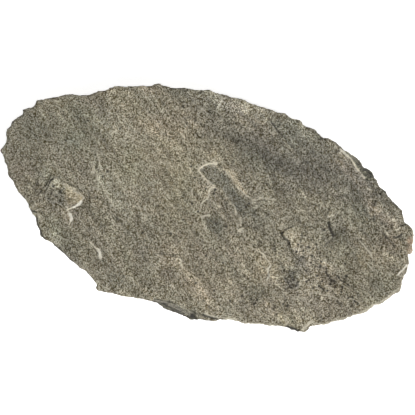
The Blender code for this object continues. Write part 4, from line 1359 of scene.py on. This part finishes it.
FLAKE_BENDS = [(190.0, 2.0), (520.0, 1.0)]  # each noise that frays a flake's outline: its scale and share


def cleft_flakes():
    """Small ragged flakes that overlap like shingles: the level each stands at, and its own tone."""
    n, given, taken = effect(
        "cleft flakes",
        {"Size": 0.007, "Along Grain": 0.6, "Raggedness": 0.5},
        {"Level": "NodeSocketFloat", "Tone": "NodeSocketFloat"},
    )
    place = n.along_grain(given["Along Grain"])
    ragged_by = n.times(given["Size"], given["Raggedness"])
    for scale, share in FLAKE_BENDS:
        bend = n.centred(n.noise(place, scale, 2.0)["Color"])
        place = n.moved(place, n.scaled(bend, n.times(ragged_by, share)))
    found = n.cells(place, n.math("DIVIDE", 1.0, given["Size"]))
    level, tone, _ = n.parts(found["Color"])
    n.link(level, taken["Level"])
    n.link(n.minus(tone, 0.5), taken["Tone"])


DRIFT_SEEDS = {"Light": 2.0, "Warm": 7.0, "Lively": 11.0, "Rosy": 15.0}


def drifting_tone():
    """Slow changes across the stone, drawn out along the lineation, each about -0.5 to 0.5."""
    outputs = dict.fromkeys(DRIFT_SEEDS, "NodeSocketFloat")
    n, given, taken = effect("drifting tone", {"Size": 0.03, "Along Grain": 0.45}, outputs)
    place = n.along_grain(given["Along Grain"])
    density = n.math("DIVIDE", 1.0, given["Size"])
    for label, seed in DRIFT_SEEDS.items():
        n.link(n.minus(n.noise(place, density, 4.0, 0.6, seed)["Fac"], 0.5), taken[label])


def toned_colour():
    """A colour made lighter, or darker below 0, by so many steps of tone."""
    n, given, taken = effect("toned colour", {"Color": MIDDLE, "Light": 0.0}, {"Color": "NodeSocketColor"})
    n.link(n.scaled(given["Color"], n.math("POWER", LIGHTEN, given["Light"])), taken["Color"])


CRUMBS = [(300.0, 1.4), (900.0, 1.8)]  # crumbs along a mark's edge: their scale, and millimetres in and out


def crumbled_edge():
    """A crisp mask with a crumbly edge, from how far inside a mark each point lies, in millimetres.

    It is as dense as its strength, down to the least density on the grains that wear first.
    """
    n, given, taken = effect(
        "crumbled edge",
        {"Margin": 0.0, "Strength": 1.0, "Grain": 1.0, "Least": 1.0},
        {"Mask": "NodeSocketFloat"},
    )
    place = n.place()
    margin = given["Margin"]
    for scale, amount in CRUMBS:
        margin = n.plus(margin, n.times(n.minus(n.noise(place, scale, 1.0)["Fac"], 0.5), amount))
    mask = n.math("MULTIPLY", n.ease(margin, -0.3, 0.15), given["Strength"], clamp=True)
    n.link(n.times(mask, n.ease(given["Grain"], 0.0, 0.5, given["Least"], 1.0)), taken["Mask"])


GRIT_SCALE = 850.0
GRAIN_STANDS = 0.6  # how far grains stand in and out beside the grit on them


def gritty_relief():
    """Grains that stand in and out, with finer grit on them, over the small ledges of flakes."""
    n, given, taken = effect(
        "gritty relief", {"Grain Height": 0.0, "Ledges": 0.0}, {"Height": "NodeSocketFloat"}
    )
    grit = n.noise(n.place(), GRIT_SCALE, 2.0)["Fac"]
    n.link(n.plus(n.times(given["Grain Height"], GRAIN_STANDS), grit, given["Ledges"]), taken["Height"])


def line_mask(n, name, grain, least):
    """The mask of one kind of line, and how strong each line is."""
    offset, width, strength = n.mark_parts(name)
    margin = n.minus(width, n.math("ABSOLUTE", offset))
    inputs = {"Margin": margin, "Strength": strength, "Grain": grain["Grain"], "Least": least}
    return n.use("crumbled edge", inputs)["Mask"], strength


def shade_lined(n, colour, grain):
    """A stone's colour with the dark lines of painted shade laid over it."""
    mask, _ = line_mask(n, "shade_line", grain, SHADE_LINE_LEAST)
    return n.blend(mask, colour, PAINTED_SHADE)


def bruised(n, colour, grain):
    """A stone's colour with the pale bruises and their chalky cores laid over it."""
    mask, strength = line_mask(n, "bruise", grain, BRUISE_LEAST)
    return n.blend(mask, colour, n.blend(n.ease(strength, 1.0, 1.5), CREAM, CHALK))


def finish(n, shader, colour, grain, ledges, roughness, depth):
    """Joins a stone's colour, roughness and relief to its shader."""
    n.link(colour, shader.inputs["Base Color"])
    n.link(n.ease(grain["Grain"], 0.0, 1.0, *roughness), shader.inputs["Roughness"])
    height = n.use("gritty relief", {"Grain Height": grain["Height"], "Ledges": ledges})["Height"]
    bump = n.put("ShaderNodeBump", {"Strength": 1.0, "Distance": depth, "Height": height})
    n.link(bump.outputs[0], shader.inputs["Normal"])


def new_material(name):
    """A new material, what builds its nodes, and its shader."""
    material = bpy.data.materials.new(name)
    material.use_nodes = True
    return material, Looks(material.node_tree), material.node_tree.nodes["Principled BSDF"]


# ---- the stone's two materials -----------------------------------------------------------------------

WEATHERED_GRAIN = 0.00078
WEATHERED_ROUGHNESS = (0.74, 0.95)
WEATHERED_RELIEF = 0.0015
BROKEN_GRAIN = 0.0011
BROKEN_CONTRAST = 1.6
BROKEN_FLAKE = 0.0055
BROKEN_ROUGHNESS = (0.6, 0.92)
BROKEN_RELIEF = 0.0011

# How the grain changes from calm to lively stone: from where to where, and from what to what.
LIVELY_GRAIN = {
    "Contrast": (-1.2, 1.4, 1.1, 4.9),
    "Clumping": (-1.2, 1.2, 0.1, 0.6),
    "Flecks": (-1.2, 1.2, -0.10, 0.06),
    "Glints": (-1.2, 1.4, -0.02, 0.09),
}

# Streaks: the way each kind runs, its length and width in metres, its seed, and how many steps of tone.
STREAKS = [
    (GRAIN_TURN, 0.070, 0.0100, 20.0, 1.25),
    (GRAIN_TURN, 0.040, 0.0048, 21.0, 2.8),
    (GRAIN_TURN - 0.15, 0.022, 0.0036, 22.0, 2.8),
    (GRAIN_TURN + 1.35, 0.014, 0.0042, 23.0, 0.4),
]

# Flakes that stand up in the flaked parts of the face: their size in metres, and the step between them.
FLAKES = [(0.0062, 0.55), (0.016, 0.7)]
FLAKE_TONE = 0.9

# Painted shade: how much darker hollows, broad basins and pits are, in steps of tone. The same marks paint
# light onto bumps and ridges, and in the broad basins the darkening stands for dirt as well.
HOLLOW_SHADE = [("hollow", -0.7), ("basin", -0.7), ("pit", -2.2)]

# Hues: the mark and the slow drift that turn the stone to one of two hues, and how much the drift counts.
HUES = [("warmth", "Warm", 1.8, COOL, WARM), ("rosiness", "Rosy", 2.4, GREEN, ROSY)]

# Beds on the broken wall: how many waves to the metre along X, Y and Z.
BEDS = (22.0, 22.0, 300.0)
THICK_BEDS = (26.0, 26.0, 120.0)
LEAVES = (60.0, 60.0, 900.0)


def weathered_stone():
    """The cleft upper face and the underside: streaked, its hue drifting, with lines, pits and stains."""
    material, n, shader = new_material("weathered quartzite")
    tone = n.use("drifting tone")
    lively = n.plus(n.times(tone["Lively"], 3.0), n.times(n.mark("lively"), 0.6))
    inputs = {label: n.ease(lively, *reach) for label, reach in LIVELY_GRAIN.items()}
    grain = n.use("mineral grain", {"Grain Size": WEATHERED_GRAIN, **inputs})
    colour = grain["Color"]
    for name, drift, amount, low, high in HUES:
        share = n.ease(n.plus(n.mark(name), n.times(tone[drift], amount)), -1.2, 1.2)
        colour = n.blend(1.0, colour, n.blend(share, low, high), "MULTIPLY")
    light = n.plus(n.times(n.mark("tone"), 1.15), n.times(tone["Light"], 0.9))
    for turn, length, width, seed, amount in STREAKS:
        streaks = n.drawn_out(n.place(), -turn, (1.0 / length, 1.0 / width, 1.0 / width))
        streaks = n.minus(n.noise(streaks, 1.0, 1.5, 0.5, seed)["Fac"], 0.5)
        light = n.plus(light, n.times(streaks, amount))
    for name, amount in HOLLOW_SHADE:
        light = n.plus(light, n.times(n.mark(name), amount))
    flaked = n.ease(lively, -0.9, 1.1, 0.15, 1.0)
    ledges = 0.0
    for size, step in FLAKES:
        flake = n.use("cleft flakes", {"Size": size})
        ledges = n.plus(ledges, n.times(flake["Level"], flaked, step))
        light = n.plus(light, n.times(flake["Tone"], flaked, FLAKE_TONE))
    colour = n.use("toned colour", {"Color": colour, "Light": light})["Color"]
    colour = shade_lined(n, colour, grain)
    # painted shade in the listed pits
    right, up, radius = n.mark_parts("pit_shade")
    gap = n.math("SQRT", n.plus(n.times(right, right), n.times(up, up)))
    pits = n.use("crumbled edge", {"Margin": n.minus(radius, gap), "Strength": 0.9})["Mask"]
    colour = n.blend(pits, colour, PAINTED_SHADE)
    colour = bruised(n, colour, grain)
    colour = n.blend(n.times(n.mark("stain"), 0.6), colour, RUST)
    finish(n, shader, colour, grain, ledges, WEATHERED_ROUGHNESS, WEATHERED_RELIEF)
    return material


def broken_stone():
    """The rim's wall and its spalls: darker, with thin beds that wander along the rim."""
    material, n, shader = new_material("broken quartzite")
    tone = n.use("drifting tone")
    grain = n.use("mineral grain", {
        "Grain Size": BROKEN_GRAIN,
        "Contrast": BROKEN_CONTRAST,
        "Dark": BROKEN_DARK,
        "Middle": BROKEN_MIDDLE,
        "Pale": BROKEN_PALE,
    })
    place = n.place()
    bedded = n.vector("MULTIPLY", place, BEDS)
    beds = n.noise(bedded, 1.0, 4.0, 0.65)["Fac"]
    thick = n.noise(n.vector("MULTIPLY", place, THICK_BEDS), 1.0, 2.0)["Fac"]
    leaves = n.noise(n.vector("MULTIPLY", place, LEAVES), 1.0, 2.0)["Fac"]
    flake = n.use("cleft flakes", {"Size": BROKEN_FLAKE, "Along Grain": 1.0})
    # The hollow mark paints shade into the wall's hollows and light onto its bumps.
    light = n.plus(
        n.ease(beds, 0.3, 0.7, -1.6, 1.6),
        n.ease(thick, 0.35, 0.65, -1.2, 1.2),
        n.ease(leaves, 0.35, 0.65, -1.1, 1.1),
        n.ease(leaves, 0.62, 0.72, 0.0, 1.5),
        n.times(flake["Tone"], 2.0),
        n.mark("tone"),
        n.times(tone["Light"], 2.0),
        n.times(n.mark("hollow"), -1.6),
        n.times(n.mark("arris"), 0.5),
    )
    hue = n.blend(n.ease(tone["Warm"], -0.25, 0.25), GREEN, WARM)
    colour = n.blend(1.0, grain["Color"], hue, "MULTIPLY")
    colour = n.use("toned colour", {"Color": colour, "Light": light})["Color"]
    rusty = n.noise(bedded, 0.45, 3.0, 0.5, 4.0)["Fac"]
    colour = n.blend(n.ease(rusty, 0.58, 0.78, 0.0, 0.3), colour, RUST)
    colour = shade_lined(n, colour, grain)
    colour = bruised(n, colour, grain)
    finish(n, shader, colour, grain, flake["Level"], BROKEN_ROUGHNESS, BROKEN_RELIEF)
    return material


# ---- the studio --------------------------------------------------------------------------------------

PIXELS = 415.0
PIXEL = 1.1288 * MM  # one pixel of the render covers this much of the slab
LENS = 85.0
SENSOR = 36.0
AIM = (0.0031, -0.0002, 0.027)  # the camera looks straight down at this place on the upper face
FLOOR_HALF = 6.0
LAMP_PLACE = (2.30, -1.30, 2.10)
LAMP_SOFTNESS = math.radians(24.0)
LAMP_STRENGTH = 3.9
DAYLIGHT = 0.33
FLOOR_GLOW = 0.75
FLOOR_COLOUR = (0.90, 0.90, 0.90, 1.0)
WHITE = (1.0, 1.0, 1.0, 1.0)


def floor():
    """A pale floor that glows a little, so that it stays plain under the slab's shade."""
    data = bpy.data.meshes.new("floor")
    corners = [(-1, -1), (1, -1), (1, 1), (-1, 1)]
    data.from_pydata([(x * FLOOR_HALF, y * FLOOR_HALF, 0.0) for x, y in corners], [], [(0, 1, 2, 3)])
    material, _, shader = new_material("pale floor")
    shader.inputs["Base Color"].default_value = FLOOR_COLOUR
    shader.inputs["Roughness"].default_value = 0.9
    shader.inputs["Specular IOR Level"].default_value = 0.1
    shader.inputs["Emission Color"].default_value = WHITE
    shader.inputs["Emission Strength"].default_value = FLOOR_GLOW
    data.materials.append(material)
    in_scene("floor", data)


def lamp():
    """A soft lamp far enough away to light the whole slab evenly."""
    data = bpy.data.lights.new("soft lamp", "SUN")
    data.angle = LAMP_SOFTNESS
    data.energy = LAMP_STRENGTH
    made = in_scene("soft lamp", data)
    made.location = LAMP_PLACE
    made.rotation_euler = (-Vector(LAMP_PLACE)).to_track_quat("-Z", "Y").to_euler()


def studio():
    """Soft daylight from all round, and the camera straight above."""
    scene = bpy.context.scene
    world = bpy.data.worlds.new("studio")
    world.use_nodes = True
    background = world.node_tree.nodes["Background"]
    background.inputs["Color"].default_value = WHITE
    background.inputs["Strength"].default_value = DAYLIGHT
    scene.world = world
    scene.view_settings.view_transform = "Standard"
    data = bpy.data.cameras.new("camera")
    data.lens = LENS
    data.sensor_width = SENSOR
    data.clip_start = 0.01
    camera = in_scene("camera", data)
    camera.location = Vector(AIM) + Vector((0.0, 0.0, PIXELS * PIXEL * LENS / SENSOR))
    camera.rotation_euler = (0.0, 0.0, TURN)
    scene.camera = camera


# ---- making it ---------------------------------------------------------------------------------------

shell = slab_shell()
refine(shell)
relax(shell)
for build in (mineral_grain, cleft_flakes, drifting_tone, toned_colour, crumbled_edge, gritty_relief):
    build()
carved = carve(shell, weathered_stone(), broken_stone())
fit_in_box(shell)
flagstone = dress(carved, shell, marks_of(shell))
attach(flagstone, "root")
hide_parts(SLAB)
floor()
lamp()
studio()
